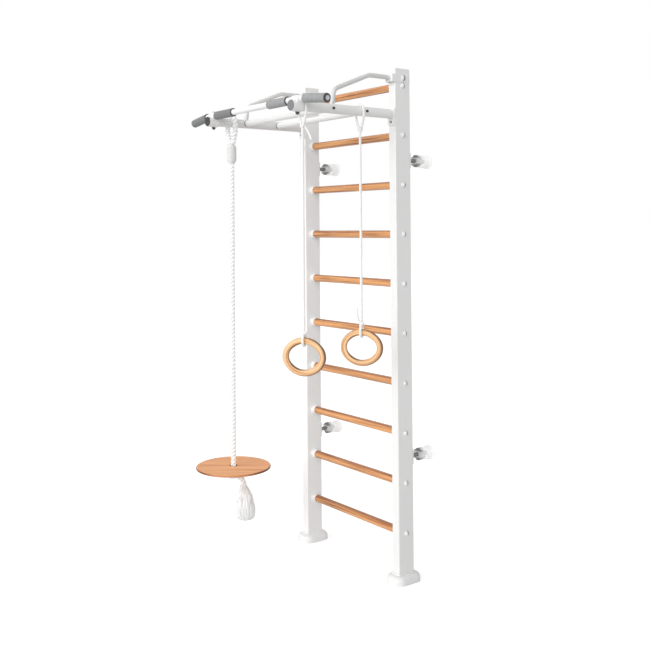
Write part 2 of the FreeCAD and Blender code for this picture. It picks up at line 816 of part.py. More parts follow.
def make_cross_tube(name, place):
    gap = "2 * upright_x"
    tube = rod(name + "_blank", "cross_diameter", gap, "-upright_x", place, "arm_height", "X")
    bore = rod(name + "_bore", "cross_diameter - 2 * cross_wall", gap + " + 2 * overrun",
               "-upright_x - overrun", place, "arm_height", "X")
    saddles = [rod(name + "_saddle", "arm_diameter + 2 * fit_gap", "2 * cross_diameter",
                   sign + "upright_x", place + " - cross_diameter", "arm_height", "Y") for side, sign in SIDES]
    node(name, cut(name + "_coped", tube, bore, *saddles))


make_cross_tube("front_cross_tube", "front_cross_y")
make_cross_tube("rear_cross_tube", "rear_cross_y")


def make_insert(side, place):
    """A plug with a threaded hole, pressed into the end of a cross tube on the right."""
    start = "upright_x - arm_radius - insert_length - fit_gap"
    plug = rod("insert_plug", "cross_diameter - 2 * (cross_wall + fit_gap)", "insert_length + arm_radius",
               start, place, "arm_height", "X")
    hole = rod("insert_hole", "cross_bolt_diameter + 2 * fit_gap", "insert_length + arm_radius + 2 * overrun",
               start + " - overrun", place, "arm_height", "X")
    saddle = rod("insert_saddle", "arm_diameter + 2 * fit_gap", "2 * cross_diameter",
                 "upright_x", place + " - cross_diameter", "arm_height", "Y")
    return cut("insert", plug, hole, saddle)


def mirrored(name, source):
    made = doc.addObject("Part::Mirroring", name)
    made.Source = source
    made.Normal = MIRROR_X
    return made


CROSS_PLACES = ("front_cross_y", "rear_cross_y")
inserts = [make_insert("right", place) for place in CROSS_PLACES]
group("cross_tube_inserts", *inserts, *[mirrored("insert_mirrored", item) for item in inserts])

cross_bolts = [hex_bolt("cross_bolt", "cross_bolt_diameter", "arm_diameter + insert_length - overrun",
                        "cross_bolt_head", "cross_bolt_rise", "upright_x + arm_radius + fit_gap", place,
                        "arm_height", "-X") for place in CROSS_PLACES]
group("cross_tube_bolts", *cross_bolts, *[mirrored("cross_bolt_mirrored", item) for item in cross_bolts])


# Pull-up bar: straight between its bends, with ends that dip down and back

def bar_points():
    y = size("bar_y")
    z = size("bar_z")
    tip_y = y + size("bar_end_set_back")
    tip_z = z - size("bar_end_drop")
    return [Vector(-size("bar_half"), tip_y, tip_z), Vector(-size("bar_straight"), y, z),
            Vector(size("bar_straight"), y, z), Vector(size("bar_half"), tip_y, tip_z)]


bar_route = bar_points()
bar_edges, bar_radii = route_edges(bar_route, [size("bar_bend")] * 2)
bar_tube = solid("pull_up_bar", steel_tube(bar_edges, size("bar_diameter"), size("bar_wall")))
bar_holes = [rod(side + "_bar_bolt_hole", "clamp_bolt_diameter + 2 * fit_gap", "2 * bar_diameter",
                 sign + "upright_x", "bar_y", "bar_z - bar_diameter", "Z") for side, sign in SIDES]
node("pull_up_bar", cut("bar_drilled", bar_tube, *bar_holes))


def end_frame(sign):
    """The end of the bar: a placement whose Z axis points out along the bar."""
    tip = bar_route[-1] if sign > 0 else bar_route[0]
    neck = bar_route[-2] if sign > 0 else bar_route[1]
    return Placement(tip, Rotation(Vector(0, 0, 1), tip - neck))


def bar_plug(sign):
    """A turned plug that closes the end of the bar, with a shallow dish in its face."""
    inner = size("bar_diameter") / 2 - size("bar_wall") - size("fit_gap")
    stem = Part.makeCylinder(inner, size("bar_plug_depth"), Vector(0, 0, -size("bar_plug_depth")))
    plate = Part.makeCylinder(size("bar_diameter") / 2, size("bar_plug_plate"))
    dish = Part.makeCone(size("bar_plug_dish") / 2 - size("bar_plug_dish_depth"), size("bar_plug_dish") / 2,
                         size("bar_plug_dish_depth"), Vector(0, 0, size("bar_plug_plate") - size("bar_plug_dish_depth")))
    shape = stem.fuse(plate).cut(dish)
    shape.Placement = end_frame(sign)
    return shape


node("bar_end_plugs", solid("bar_end_plugs", Part.makeCompound([bar_plug(-1), bar_plug(1)])))


# Foam grips on the bar

def inner_grip(side, sign, start, length):
    low = start if sign == "" else f"-({start} + {length})"
    foam = rod(side + "_inner_foam", "grip_diameter", length, low, "bar_y", "bar_z", "X")
    bore = rod(side + "_inner_foam_bore", "bar_diameter + 2 * fit_gap", f"{length} + 2 * overrun",
               low + " - overrun", "bar_y", "bar_z", "X")
    node(side + "_inner_grip", cut(side + "_inner_grip_bored", foam, bore))


inner_grip("left", "-", "left_grip_start", "left_grip_length")
inner_grip("right", "", "right_grip_start", "right_grip_length")


def outer_grip(side, sign):
    """A foam sleeve flush with the end of the bar, along its bent end."""
    length = size("bar_half") - size("outer_grip_start")
    foam = Part.makeCylinder(size("grip_diameter") / 2, length, Vector(0, 0, -length))
    over = size("overrun")
    bore = Part.makeCylinder(size("bar_diameter") / 2 + size("fit_gap"), length + 2 * over,
                             Vector(0, 0, -length - over))
    shape = foam.cut(bore)
    shape.Placement = end_frame(sign)
    node(side + "_outer_grip", solid(side + "_outer_grip", shape))


outer_grip("left", -1)
outer_grip("right", 1)


# Clamps: a sleeve round the arm with a yoke over the bar

def make_clamp(side, sign):
    x = sign + "upright_x"
    sleeve = rod(side + "_clamp_sleeve", "arm_diameter + 2 * clamp_wall", "clamp_length",
                 x, "clamp_y", "arm_height", "Y")
    yoke = rod(side + "_clamp_yoke", "bar_diameter + 2 * yoke_wall", "yoke_length",
               x + " - yoke_length / 2", "bar_y", "bar_z", "X")
    web = block(side + "_clamp_web", "yoke_length", "bar_diameter + 2 * yoke_wall", "bar_rise",
                x, "bar_y", "arm_height")
    pad_up = rod(side + "_clamp_boss", "clamp_head_diameter + yoke_wall", "yoke_top - bar_z",
                 x, "bar_y", "bar_z", "Z")
    pad_down = rod(side + "_clamp_foot", "clamp_nut_diameter + yoke_wall", "arm_radius + clamp_wall",
                   x, "bar_y", "arm_height", "-Z")
    body = fuse(side + "_clamp_body", sleeve, yoke, web, pad_up, pad_down)
    arm_bore = rod(side + "_clamp_arm_bore", "arm_diameter + 2 * fit_gap", "clamp_length + 2 * overrun",
                   x, "clamp_y - overrun", "arm_height", "Y")
    bar_bore = rod(side + "_clamp_bar_bore", "bar_diameter + 2 * fit_gap", "yoke_length + 2 * overrun",
                   x + " - yoke_length / 2 - overrun", "bar_y", "bar_z", "X")
    bolt_bore = rod(side + "_clamp_bolt_bore", "clamp_bolt_diameter + 2 * fit_gap",
                    "yoke_top - clamp_bottom + 2 * overrun", x, "bar_y", "clamp_bottom - overrun", "Z")
    return cut(side + "_bar_clamp", body, arm_bore, bar_bore, bolt_bore)


group("bar_clamps", *[make_clamp(side, sign) for side, sign in SIDES])


def make_clamp_bolt(side, sign):
    """A bolt from above with a low black cap, and the cap nut that holds it below the arm."""
    x = sign + "upright_x"
    head = dome(side + "_clamp_head", "clamp_head_diameter", "clamp_head_rise", x, "bar_y", "yoke_top", "Z")
    shank = rod(side + "_clamp_shank", "clamp_bolt_diameter", "yoke_top - clamp_bottom + clamp_nut_rise / 2",
                x, "bar_y", "yoke_top", "-Z")
    bolt = fuse(side + "_clamp_bolt", head, shank)
    collar = rod(side + "_clamp_nut_collar", "clamp_nut_diameter", "clamp_nut_rise / 2",
                 x, "bar_y", "clamp_bottom", "-Z")
    cap = dome(side + "_clamp_nut_dome", "clamp_nut_diameter", "clamp_nut_rise / 2",
               x, "bar_y", "clamp_bottom - clamp_nut_rise / 2", "-Z")
    thread = rod(side + "_clamp_nut_thread", "clamp_bolt_diameter + 2 * fit_gap",
                 "clamp_nut_rise / 2 + fit_gap", x, "bar_y", "clamp_bottom", "-Z")
    nut = cut(side + "_clamp_nut", fuse(side + "_clamp_nut_body", collar, cap), thread)
    return [bolt, nut]


group("bar_clamp_bolts", *[piece for side, sign in SIDES for piece in make_clamp_bolt(side, sign)])


# Braces from the brackets down to the arms

def make_brace(side, direction):
    x = direction * size("upright_x")
    frame_y = size("frame_y")
    height = size("brace_height")
    points = [Vector(x, size("bracket_front"), height), Vector(x, frame_y - size("brace_knee_reach"), height),
              Vector(x, frame_y - size("brace_elbow_reach"), size("brace_elbow_height")),
              Vector(x, frame_y - size("brace_foot_reach"), size("arm_height"))]
    edges, radii = route_edges(points, [size("brace_knee_bend"), size("brace_elbow_bend")])
    return solid(side + "_brace", steel_tube(edges, size("brace_diameter"), size("brace_wall")))


for side, sign in SIDES:
    tube = make_brace(side, -1 if sign else 1)
    x = sign + "upright_x"
    saddle = rod(side + "_brace_saddle", "arm_diameter + 2 * fit_gap", "arm_reach",
                 x, "arm_y", "arm_height", "Y")
    screw_hole = rod(side + "_brace_screw_hole", "set_screw_diameter + 2 * fit_gap", "brace_diameter",
                     x, "bracket_front - set_screw_set_out", "brace_height", "-Z")
    node(side + "_brace", cut(side + "_brace_coped", tube, saddle, screw_hole))


# Brackets: a strap round the front of the upright's top, with a spigot that holds the brace

def make_bracket(side, sign):
    x = sign + "upright_x"
    strap = block(side + "_strap_outside", "upright_width + 2 * bracket_wall", "bracket_side_length",
                  "bracket_strap_height", x, "bracket_front + bracket_side_length / 2", "bracket_bottom")
    front = size("bracket_front")
    strap = soften(side + "_strap_corners", strap, "bracket_corner",
                   lambda edge: abs(edge.tangentAt(0).z) > 0.5 and abs(edge.CenterOfMass.y - front) < TINY)
    inside = block(side + "_strap_inside", "upright_width + 2 * fit_gap", "bracket_side_length",
                   "bracket_strap_height + 2 * overrun", x,
                   "bracket_y + bracket_side_length / 2", "bracket_bottom - overrun")
    hole = rod(side + "_strap_hole", "bracket_bolt_diameter + 2 * fit_gap", "2 * upright_width",
               x + " - upright_width", "bracket_bolt_y", "brace_height", "X")
    spigot = rod(side + "_spigot", "brace_diameter - 2 * (brace_wall + fit_gap)", "spigot_length + bracket_wall",
                 x, "bracket_y", "brace_height", "-Y")
    screw = rod(side + "_spigot_thread", "set_screw_diameter + 2 * fit_gap", "brace_diameter",
                x, "bracket_front - set_screw_set_out", "brace_height", "-Z")
    notch = rod(side + "_collar_notch", "collar_diameter + 8 * fit_gap", "2 * collar_length",
                sign + "inner_face - collar_length", "frame_y", "top_rung_height", "X")
    opened = cut(side + "_strap", strap, inside, hole, notch)
    return node(side + "_brace_bracket", cut(side + "_bracket", fuse(side + "_bracket_body", opened, spigot), screw))


for side, sign in SIDES:
    make_bracket(side, sign)


def make_bracket_bolt():
    """On the right: a domed bolt from outside and a hexagon nut on the inner side."""
    reach = "upright_width + 2 * bracket_wall + bracket_nut_rise - overrun / 2"
    shank = rod("bracket_shank", "bracket_bolt_diameter", reach,
                "bracket_side", "bracket_bolt_y", "brace_height", "-X")
    head = dome("bracket_head", "bracket_head_diameter", "bracket_head_rise",
                "bracket_side", "bracket_bolt_y", "brace_height", "X")
    bolt = fuse("bracket_bolt", shank, head)
    nut = doc.addObject("Part::Prism", "bracket_nut_blank")
    bind(nut, Circumradius="bracket_nut_diameter / 2", Height="bracket_nut_rise")
    nut.Polygon = 6
    put(nut, "bracket_inner_side", "bracket_bolt_y", "brace_height", "-X")
    thread = rod("bracket_nut_thread", "bracket_bolt_diameter + 2 * fit_gap", "bracket_nut_rise + 2 * overrun",
                 "bracket_inner_side + overrun", "bracket_bolt_y", "brace_height", "-X")
    return [bolt, cut("bracket_nut", nut, thread)]


bracket_fasteners = make_bracket_bolt()
group("bracket_bolts", *bracket_fasteners, *[mirrored("bracket_bolt_mirrored", item) for item in bracket_fasteners])

group("brace_set_screws", *[
    hex_bolt(side + "_set_screw", "set_screw_diameter", "brace_diameter / 2",
             "set_screw_head", "set_screw_rise", sign + "upright_x", "bracket_front - set_screw_set_out",
             "brace_height - brace_diameter / 2", "Z") for side, sign in SIDES])


# Wall fixings: a plate on the upright, a spindle, a star knob and a cup that screws to the wall

def fixing_spots():
    """The four places, where the plane of an upright's back meets the spindle's axis."""
    return [Placement(Vector(x, 0, size(height)), Rotation())
            for height in ("lower_fixing_height", "upper_fixing_height")
            for x in (-size("upright_x"), size("upright_x"))]


def make_back_plate():
    plate = block("back_plate_blank", "back_plate_width", "back_plate_thickness", "back_plate_height",
                  "0", "-stand_off + back_plate_thickness / 2", "-back_plate_height / 2")
    plate = soften("back_plate_corners", plate, "back_plate_corner", lambda edge: abs(edge.tangentAt(0).y) > 0.5)
    holes = [rod("back_plate_hole", "plate_screw_diameter + 2 * fit_gap", "back_plate_thickness + 2 * overrun",
                 "0", "-stand_off - overrun", f"{way} plate_screw_spacing / 2", "Y") for way in ("+", "-")]
    return cut("back_plate_master", plate, *holes)


def make_plate_screws():
    """The two screws of one plate."""
    made = []
    for way in ("+", "-"):
        height = f"{way} plate_screw_spacing / 2"
        shank = rod("plate_screw_shank", "plate_screw_diameter - 2 * fit_gap", "plate_screw_length",
                    "0", "plate_back", height, "-Y")
        head = dome("plate_screw_head", "plate_screw_head", "plate_screw_rise", "0", "plate_back", height, "Y")
        made.append(fuse("plate_screw", shank, head))
    return made


def make_spindle():
    """A welded-on base washer and the threaded spindle that ends inside the cup's hub."""
    base = rod("spindle_base", "spindle_base_diameter", "spindle_base", "0", "plate_back", "0", "Y")
    stem = rod("spindle_stem", "spindle_diameter", "-plate_back - flange_base - fit_gap", "0", "plate_back", "0", "Y")
    return fuse("spindle_master", base, stem)


copies("fixing_plates", make_back_plate(), fixing_spots())
copies("plate_screws", group("plate_screw_pair", *make_plate_screws()), fixing_spots())
del NODES["plate_screw_pair"]
copies("fixing_spindles", make_spindle(), fixing_spots())


def make_knob():
    """The star knob: a fluted rim that narrows to a hub towards the wall, threaded through."""
    body = new_body("knob_body")
    rim = new_sketch(body, "knob_rim_circle")
    draw_circle(rim, "knob_diameter")
    padded = pad(body, rim, "knob_rim", "knob_rim_pad")
    doc.recompute()
    names = [f"Edge{index}" for index, edge in enumerate(padded.Shape.Edges, 1)
             if is_round(edge, size("knob_diameter"))]
    rounded = body.newObject("PartDesign::Fillet", "knob_rim_round")
    rounded.Base = (padded, names)
    rounded.setExpression("Radius", expression("knob_edge"))
    flute = new_sketch(body, "knob_flute_circle")
    draw_circle(flute, "knob_flute_diameter", "knob_diameter / 2 + knob_flute_diameter / 2 - knob_flute_depth", None)
    fluted = pocket(body, flute, "2 * knob_rim + 2 * overrun", "knob_flute_cut")
    row = body.newObject("PartDesign::PolarPattern", "knob_flutes")
    row.Originals = [fluted]
    row.Axis = (rim, ["N_Axis"])
    row.Angle = 360
    row.setExpression("Occurrences", expression("knob_lobes"))
    body.Tip = row
    put(body, "0", "knob_y", "0", "Y")
    hub = cone("knob_hub_cone", "knob_hub_diameter", "knob_hub_diameter - 2 * knob_edge", "knob_hub",
               "0", "knob_y + knob_rim", "0", "Y")
    bore = rod("knob_bore", "spindle_diameter + 2 * fit_gap", "knob_rim + knob_hub + 2 * overrun",
               "0", "knob_y - overrun", "0", "Y")
    return cut("knob_master", fuse("knob_solid", body, hub), bore)


knob = make_knob()
doc.recompute()
KNOB_NAMES = ("lower_left_knob", "lower_right_knob", "upper_left_knob", "upper_right_knob")
for label, spot in zip(KNOB_NAMES, fixing_spots()):
    shape = knob.Shape.copy()
    shape.Placement = spot.multiply(shape.Placement)
    node(label, solid(label, shape))


def make_flange():
    """A cup that is open towards the knob, with a base that screws to the wall and a hub for the spindle."""
    base = rod("flange_base_disc", "flange_diameter", "flange_base", "0", "0", "0", "-Y")
    cup = cone("flange_cup", "flange_cup_diameter", "flange_cup_diameter - 2 * flange_cup_wall",
               "flange_cup_depth", "0", "0", "0", "-Y")
    hollow = cone("flange_hollow", "flange_cup_diameter - 2 * flange_cup_wall",
                  "flange_cup_diameter - 4 * flange_cup_wall", "flange_cup_depth + overrun",
                  "0", "-flange_base", "0", "-Y")
    hub = rod("flange_hub_tube", "flange_hub_diameter", "flange_hub", "0", "0", "0", "-Y")
    bore = rod("flange_hub_bore", "spindle_diameter + 2 * fit_gap", "flange_hub + overrun",
               "0", "-flange_base", "0", "-Y")
    walls = cut("flange_walls", fuse("flange_outside", base, cup), hollow)
    holes = []
    count = int(size("flange_hole_count"))
    for index in range(count):
        angle = 2 * math.pi * (index + 0.5) / count
        share_x, share_z = math.cos(angle) / 2, math.sin(angle) / 2
        holes.append(rod("flange_hole", "flange_hole_diameter", "flange_base + 2 * overrun",
                         f"{share_x} * flange_hole_circle", "overrun", f"{share_z} * flange_hole_circle", "-Y"))
    return cut("flange_master", fuse("flange_solid", walls, hub), bore, *holes)


copies("wall_flanges", make_flange(), fixing_spots())


# Disc swing

def room_round(alias, pivot):
    """A round room on the crosswise axis of a knot, in which the knot can roll fore and aft."""
    half = size("arm_diameter")
    start = pivot - Vector(half, 0, 0)
    return Part.makeCylinder(size(alias) + size("hang_gap"), 2 * half, start, Vector(1, 0, 0))


def swing_route():
    """One loop over the arm: the free end hangs on the left, the other strand runs to the binding."""
    centre = Vector(-size("upright_x"), size("swing_y"), size("arm_height"))
    radius = size("arm_radius") + size("rope_diameter") / 2 + size("hang_gap")
    left = centre + Vector(-radius, 0, 0)
    right = centre + Vector(radius, 0, 0)
    tail = Part.LineSegment(Vector(left.x, left.y, size("loop_tail_end")), left).toShape()
    over = Part.Arc(left, centre + Vector(0, 0, radius), right).toShape()
    corner = right - Vector(0, 0, size("loop_corner_drop"))
    pivot = Vector(centre.x, centre.y, size("binding_pivot"))
    strand, radii = route_edges([right, corner, pivot])
    return [tail, over] + strand, radii


hitch_edges, hitch_radii = swing_route()
hitch = rope("swing_hitch", hitch_edges, size("rope_diameter"), hitch_radii)
pivot = Vector(-size("upright_x"), size("swing_y"), size("binding_pivot"))
ball_room = room_round("binding_radius", pivot)
node("swing_hitch", solid("swing_hitch", hitch.cut(ball_room)))

binding_ball = doc.addObject("Part::Sphere", "binding_ball")
bind(binding_ball, Radius="binding_radius")
put(binding_ball, "-upright_x", "swing_y", "binding_pivot")
binding_low = "binding_top - binding_length"
binding = rod("binding_barrel", "2 * binding_radius", "binding_length - binding_radius - binding_taper",
              "-upright_x", "swing_y", "binding_pivot", "-Z")
taper = cone("binding_cone", "2 * binding_radius", "rope_diameter", "binding_taper",
             "-upright_x", "swing_y", f"{binding_low} + binding_taper", "-Z")
line = rod("swing_line", "rope_diameter", f"{binding_low} - disc_bottom + stopper_sink",
           "-upright_x", "swing_y", "disc_bottom - stopper_sink", "Z")
node("swing_rope", fuse("swing_rope_solid", binding_ball, binding, taper, line))

disc_blank = rod("disc_blank", "disc_diameter", "disc_thickness", "-upright_x", "swing_y", "disc_bottom", "Z")
disc_width = size("disc_diameter")
disc_round = soften("disc_round", disc_blank, "disc_edge", lambda edge: is_round(edge, disc_width))
node("swing_disc", cut("disc_bored", disc_round, rod("disc_bore", "disc_hole", "disc_thickness + 2 * overrun",
                                                    "-upright_x", "swing_y", "disc_bottom - overrun", "Z")))


def make_swing_tail():
    """The knot under the disc, the rope's end that leaves it sideways, and the frayed tassel."""
    axis = Vector(-size("upright_x"), size("swing_y"), 0)
    thick = size("rope_diameter")
    radius = size("stopper_radius")
    centre = size("disc_bottom") - math.sqrt(radius ** 2 - (size("disc_hole") / 2 + size("overrun")) ** 2)
    knot = Part.makeSphere(radius, axis + Vector(0, 0, centre))
    above = Part.makeBox(4 * radius, 4 * radius, radius,
                         axis + Vector(-2 * radius, -2 * radius, size("disc_bottom") - size("fit_gap")))
    seat = Part.makeCylinder(thick / 2 + size("fit_gap"), radius,
                             axis + Vector(0, 0, size("disc_bottom") - size("stopper_sink") - size("hang_gap")))
    knot = knot.cut(above).cut(seat)
    shift = size("tassel_shift")
    top = size("tassel_top")
    points = [axis + CAMERA_SIDE * (across * thick) + Vector(0, 0, top + up * thick) for across, up in TAIL_SHARES]
    edges, radii = route_edges(points)
    end = rope("swing_tail", edges, thick, radii)
    tassel_axis = axis + CAMERA_SIDE * shift
    tall = top - size("tassel_bottom")
    outline = [(0, top)] + [(across * size("tassel_width") / 2, top - down * tall) for across, down in TASSEL_SHARES]
    outline.append((0, size("tassel_bottom")))
    corners = [tassel_axis + Vector(across, 0, height) for across, height in outline]
    edges = [Part.LineSegment(corners[0], corners[1]).toShape()]
    edges.append(Part.Arc(corners[1], corners[2], corners[3]).toShape())
    edges.append(Part.Arc(corners[3], corners[4], corners[5]).toShape())
    edges.append(Part.LineSegment(corners[5], corners[6]).toShape())
    edges.append(Part.LineSegment(corners[6], corners[0]).toShape())
    face = Part.Face(Part.Wire(edges))
    tassel = face.revolve(tassel_axis, Vector(0, 0, 1), 360)
    return knot.fuse(end).fuse(tassel)


TAIL_SHARES = ((0, 3.1), (1.7, 2.65), (2.75, 0.8), (2.1, -1.7))
TASSEL_SHARES = ((0.42, 0), (0.72, 0.25), (0.93, 0.55), (1, 0.75), (0.74, 1))

node("swing_tail", solid("swing_tail", make_swing_tail()))


# Gymnastic rings

def hoop_edges(radius, distance, neck, bend):
    """A loop in its own X and Z: half a turn below the origin, with both strands drawn in to a knot."""
    corner = bend * distance
    shapes = []
    left = [Vector(-neck, 0, distance), Vector(-radius, 0, corner), Vector(-radius, 0, 0)]
    right = [Vector(-point.x, 0, point.z) for point in reversed(left)]
    shapes, radii = route_edges(left)
    shapes.append(Part.Arc(left[-1], Vector(0, 0, -radius), right[0]).toShape())
    more, again = route_edges(right)
    return shapes + more, radii + again


def place_shape(shape, base, rotation):
    shape.Placement = Placement(base, rotation)
    return shape


LOOP_BEND_SHARE = 0.42
KNOT_TURN_SHARE = 0.75
KNOT_LENGTH_SHARE = 0.85
HITCH_BEND_SHARE = 0.5
FRONT_TAIL_SHARES = ((0, 0), (1.8, -0.7), (3.4, -5.7))
REAR_TAIL_SHARES = ((0, 0), (-2.1, 1.3), (-1.7, 5.6))


def tail_solid(label, shares, centre, diameter):
    """A short free end that leaves a knot, in the upright plane that faces the camera."""
    points = [centre + CAMERA_SIDE * (across * diameter) + Vector(0, 0, up * diameter) for across, up in shares]
    edges, radii = route_edges(points)
    return rope(label, edges, diameter, radii)


def knot_solid(radius, centre, gap):
    """A ball with a short turn of cord across it, on the axis on which the knot rolls fore and aft."""
    turn_radius = radius * KNOT_TURN_SHARE + gap
    half = radius * KNOT_LENGTH_SHARE + gap
    start = centre - Vector(half, 0, 0)
    turn = Part.makeCylinder(turn_radius, 2 * half, start, Vector(1, 0, 0))
    return Part.makeSphere(radius + gap, centre).fuse(turn)


def make_ring_set(name, ring_y, ring_height):
    x = size("upright_x")
    y = size(ring_y)
    thick = size("cord_diameter")
    gap = size("hang_gap")
    middle = Vector(x, y, size(ring_height))
    # Loop over the arm
    radius = size("arm_radius") + thick / 2 + gap
    edges, radii = hoop_edges(radius, size("loop_knot_drop"), size("loop_neck"), LOOP_BEND_SHARE)
    loop = rope(name + "_ring_loop", edges, thick, radii)
    place_shape(loop, Vector(x, y, size("arm_height")), Rotation(Vector(0, 1, 0), 180))
    knot_place = Vector(x, y, size("loop_knot_height"))
    room = knot_solid(size("knot_radius"), knot_place, gap)
    node(name + "_ring_loop", solid(name + "_ring_loop", loop.cut(room)))
    # Cord between the knots
    ring_top = size(ring_height) + size("ring_tallness") / 2
    low_knot = ring_top + size(name + "_knot_rise")
    low_end = low_knot + size("ring_knot_radius") + gap / 2
    knot = knot_solid(size("knot_radius"), knot_place, 0)
    cord = Part.makeCylinder(thick / 2, knot_place.z - low_end, Vector(x, y, low_end))
    strand = knot.fuse(cord)
    if name == "front":
        strand = strand.fuse(tail_solid("front_ring_tail", FRONT_TAIL_SHARES, knot_place, thick))
    node(name + "_ring_cord", solid(name + "_ring_cord", strand))
    # Turn round the ring, with its knot
    inner_top = ring_top - size("ring_band")
    wrap_radius = size("ring_thickness") / 2 + thick / 2 + gap
    wrap_height = inner_top + size("ring_thickness") / 2
    edges, radii = hoop_edges(wrap_radius, low_knot - wrap_height, size("loop_neck"), HITCH_BEND_SHARE)
    wrap = rope(name + "_ring_hitch", edges, thick, radii)
    facing = Rotation(Vector(0, 0, 1), size("ring_turn_angle") - 90)
    place_shape(wrap, Vector(x, y, wrap_height), facing)
    low_centre = Vector(x, y, low_knot)
    hitch_solid = wrap.fuse(Part.makeSphere(size("ring_knot_radius"), low_centre))
    if name == "rear":
        hitch_solid = hitch_solid.fuse(tail_solid("rear_ring_tail", REAR_TAIL_SHARES, low_centre, thick))
    node(name + "_ring_hitch", solid(name + "_ring_hitch", hitch_solid))
    # The oval ring
    path = oval(size("ring_band") / 2)
    start = path.Edges[0].valueAt(path.Edges[0].FirstParameter)
    way = path.Edges[0].tangentAt(path.Edges[0].FirstParameter)
    up = Vector(0, 0, 1)
    section = rounded_wire(size("ring_band"), size("ring_thickness"), size("ring_edge"))
    section.Placement = Placement(start, Rotation(way.cross(up) * -1, up, way, "ZXY"))
    blank = path.makePipeShell([section], True, False)
    standing = Rotation(Vector(0, 0, 1), size("ring_turn_angle")).multiply(Rotation(Vector(1, 0, 0), 90))
    node(name + "_ring", solid(name + "_ring", blank, Placement(middle, standing)))


def rounded_wire(width, height, radius):
    """A rectangle with round corners round the origin, in the plane of X and Y."""
    across = width / 2 - radius
    rise = height / 2 - radius
    corners = [(across, rise), (-across, rise), (-across, -rise), (across, -rise)]
    edges = []
    for index, (x, y) in enumerate(corners):
        start = math.pi / 2 * index
        circle = Part.Circle(Vector(x, y, 0), Vector(0, 0, 1), radius)
        arc = Part.ArcOfCircle(circle, start, start + math.pi / 2).toShape()
        x2, y2 = corners[(index + 1) % 4]
        end = start + math.pi / 2
        step = Vector(math.cos(end), math.sin(end), 0) * radius
        edges.append(arc)
        edges.append(Part.LineSegment(Vector(x, y, 0) + step, Vector(x2, y2, 0) + step).toShape())
    return Part.Wire(edges)


def oval(inset):
    """A flat oval of four arcs that join smoothly, drawn inwards by the inset."""
    half = size("ring_width") / 2
    rise = size("ring_tallness") / 2
    end = size("ring_end_radius")
    side = half - end
    top = (side ** 2 + rise ** 2 - end ** 2) / (2 * (rise - end))
    lean = math.atan2(top - rise, side)
    edges = []
    for centre, radius, first, last in (
            (Vector(side, 0, 0), end, -lean, lean),
            (Vector(0, rise - top, 0), top, lean, math.pi - lean),
            (Vector(-side, 0, 0), end, math.pi - lean, math.pi + lean),
            (Vector(0, top - rise, 0), top, math.pi + lean, 2 * math.pi - lean)):
        circle = Part.Circle(centre, Vector(0, 0, 1), radius - inset)
        edges.append(Part.ArcOfCircle(circle, first, last).toShape())
    return Part.Wire(edges)


make_ring_set("front", "front_ring_y", "front_ring_height")
make_ring_set("rear", "rear_ring_y", "rear_ring_height")


# Check every object and write the sub-parts

doc.recompute()
failed = [thing.Name for thing in doc.Objects if "Invalid" in thing.State or "Error" in thing.State]
if failed:
    raise RuntimeError("failed objects: " + ", ".join(failed))
for label, thing in NODES.items():
    if thing.Shape.isNull() or not thing.Shape.isValid():
        raise RuntimeError("bad shape: " + label)

os.makedirs("parts", exist_ok=True)
for label, thing in NODES.items():
    thing.Shape.exportStep(os.path.join("parts", label + ".step"))
print(f"{len(NODES)} sub-parts written")
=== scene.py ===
"""Finishes the wall bars: ropes and cords, foam grips, wood, paint, plastic, stage and camera.

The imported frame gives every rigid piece. This add-on paints those pieces, replaces the soft ones
with detailed meshes, and sets up a pale studio. Lengths are metres, in the frame's own axes.
"""

import json
import math

import bmesh
import bpy
from bpy.props import FloatProperty, FloatVectorProperty, IntProperty, PointerProperty
from mathutils import Matrix, Vector


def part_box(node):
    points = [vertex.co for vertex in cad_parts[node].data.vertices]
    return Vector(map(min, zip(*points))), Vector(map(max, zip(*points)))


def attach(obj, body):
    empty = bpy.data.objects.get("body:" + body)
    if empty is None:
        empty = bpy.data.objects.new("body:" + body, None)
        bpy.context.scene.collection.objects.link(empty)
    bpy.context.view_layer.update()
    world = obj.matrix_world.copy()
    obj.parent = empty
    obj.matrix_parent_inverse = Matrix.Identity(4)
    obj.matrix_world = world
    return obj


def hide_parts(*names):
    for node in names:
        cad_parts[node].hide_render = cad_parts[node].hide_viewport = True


bl_info = {
    "name": "Wall bars finish",
    "version": (1, 0, 0),
    "blender": (4, 5, 0),
    "location": "View3D > Sidebar > Wall bars",
    "description": "Paints the wall bars and makes their ropes, cords, grips and stage",
    "category": "Object",
}

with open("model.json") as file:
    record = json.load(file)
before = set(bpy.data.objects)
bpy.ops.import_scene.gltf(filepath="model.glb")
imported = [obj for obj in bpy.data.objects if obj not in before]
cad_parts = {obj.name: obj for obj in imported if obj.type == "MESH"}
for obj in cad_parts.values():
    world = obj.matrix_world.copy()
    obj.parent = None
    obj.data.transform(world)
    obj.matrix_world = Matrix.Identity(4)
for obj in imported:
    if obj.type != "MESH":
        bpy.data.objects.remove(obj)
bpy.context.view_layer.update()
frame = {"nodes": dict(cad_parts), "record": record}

# The camera as fitted to the photograph: pixels, degrees and metres

PHOTO_PIXELS = 650
FOCAL_PIXELS = 903.87
AXIS_PIXELS = (319.03, 213.5)
CAMERA_YAW, CAMERA_PITCH, CAMERA_ROLL = 53.415, -0.853, -0.436
CAMERA_PLACE = (3.0547, -2.5974, 1.4273)
CAMERA_SIDE = Vector((0.6, 0.8, 0))  # to the right in the picture
FILM_WIDTH = 36

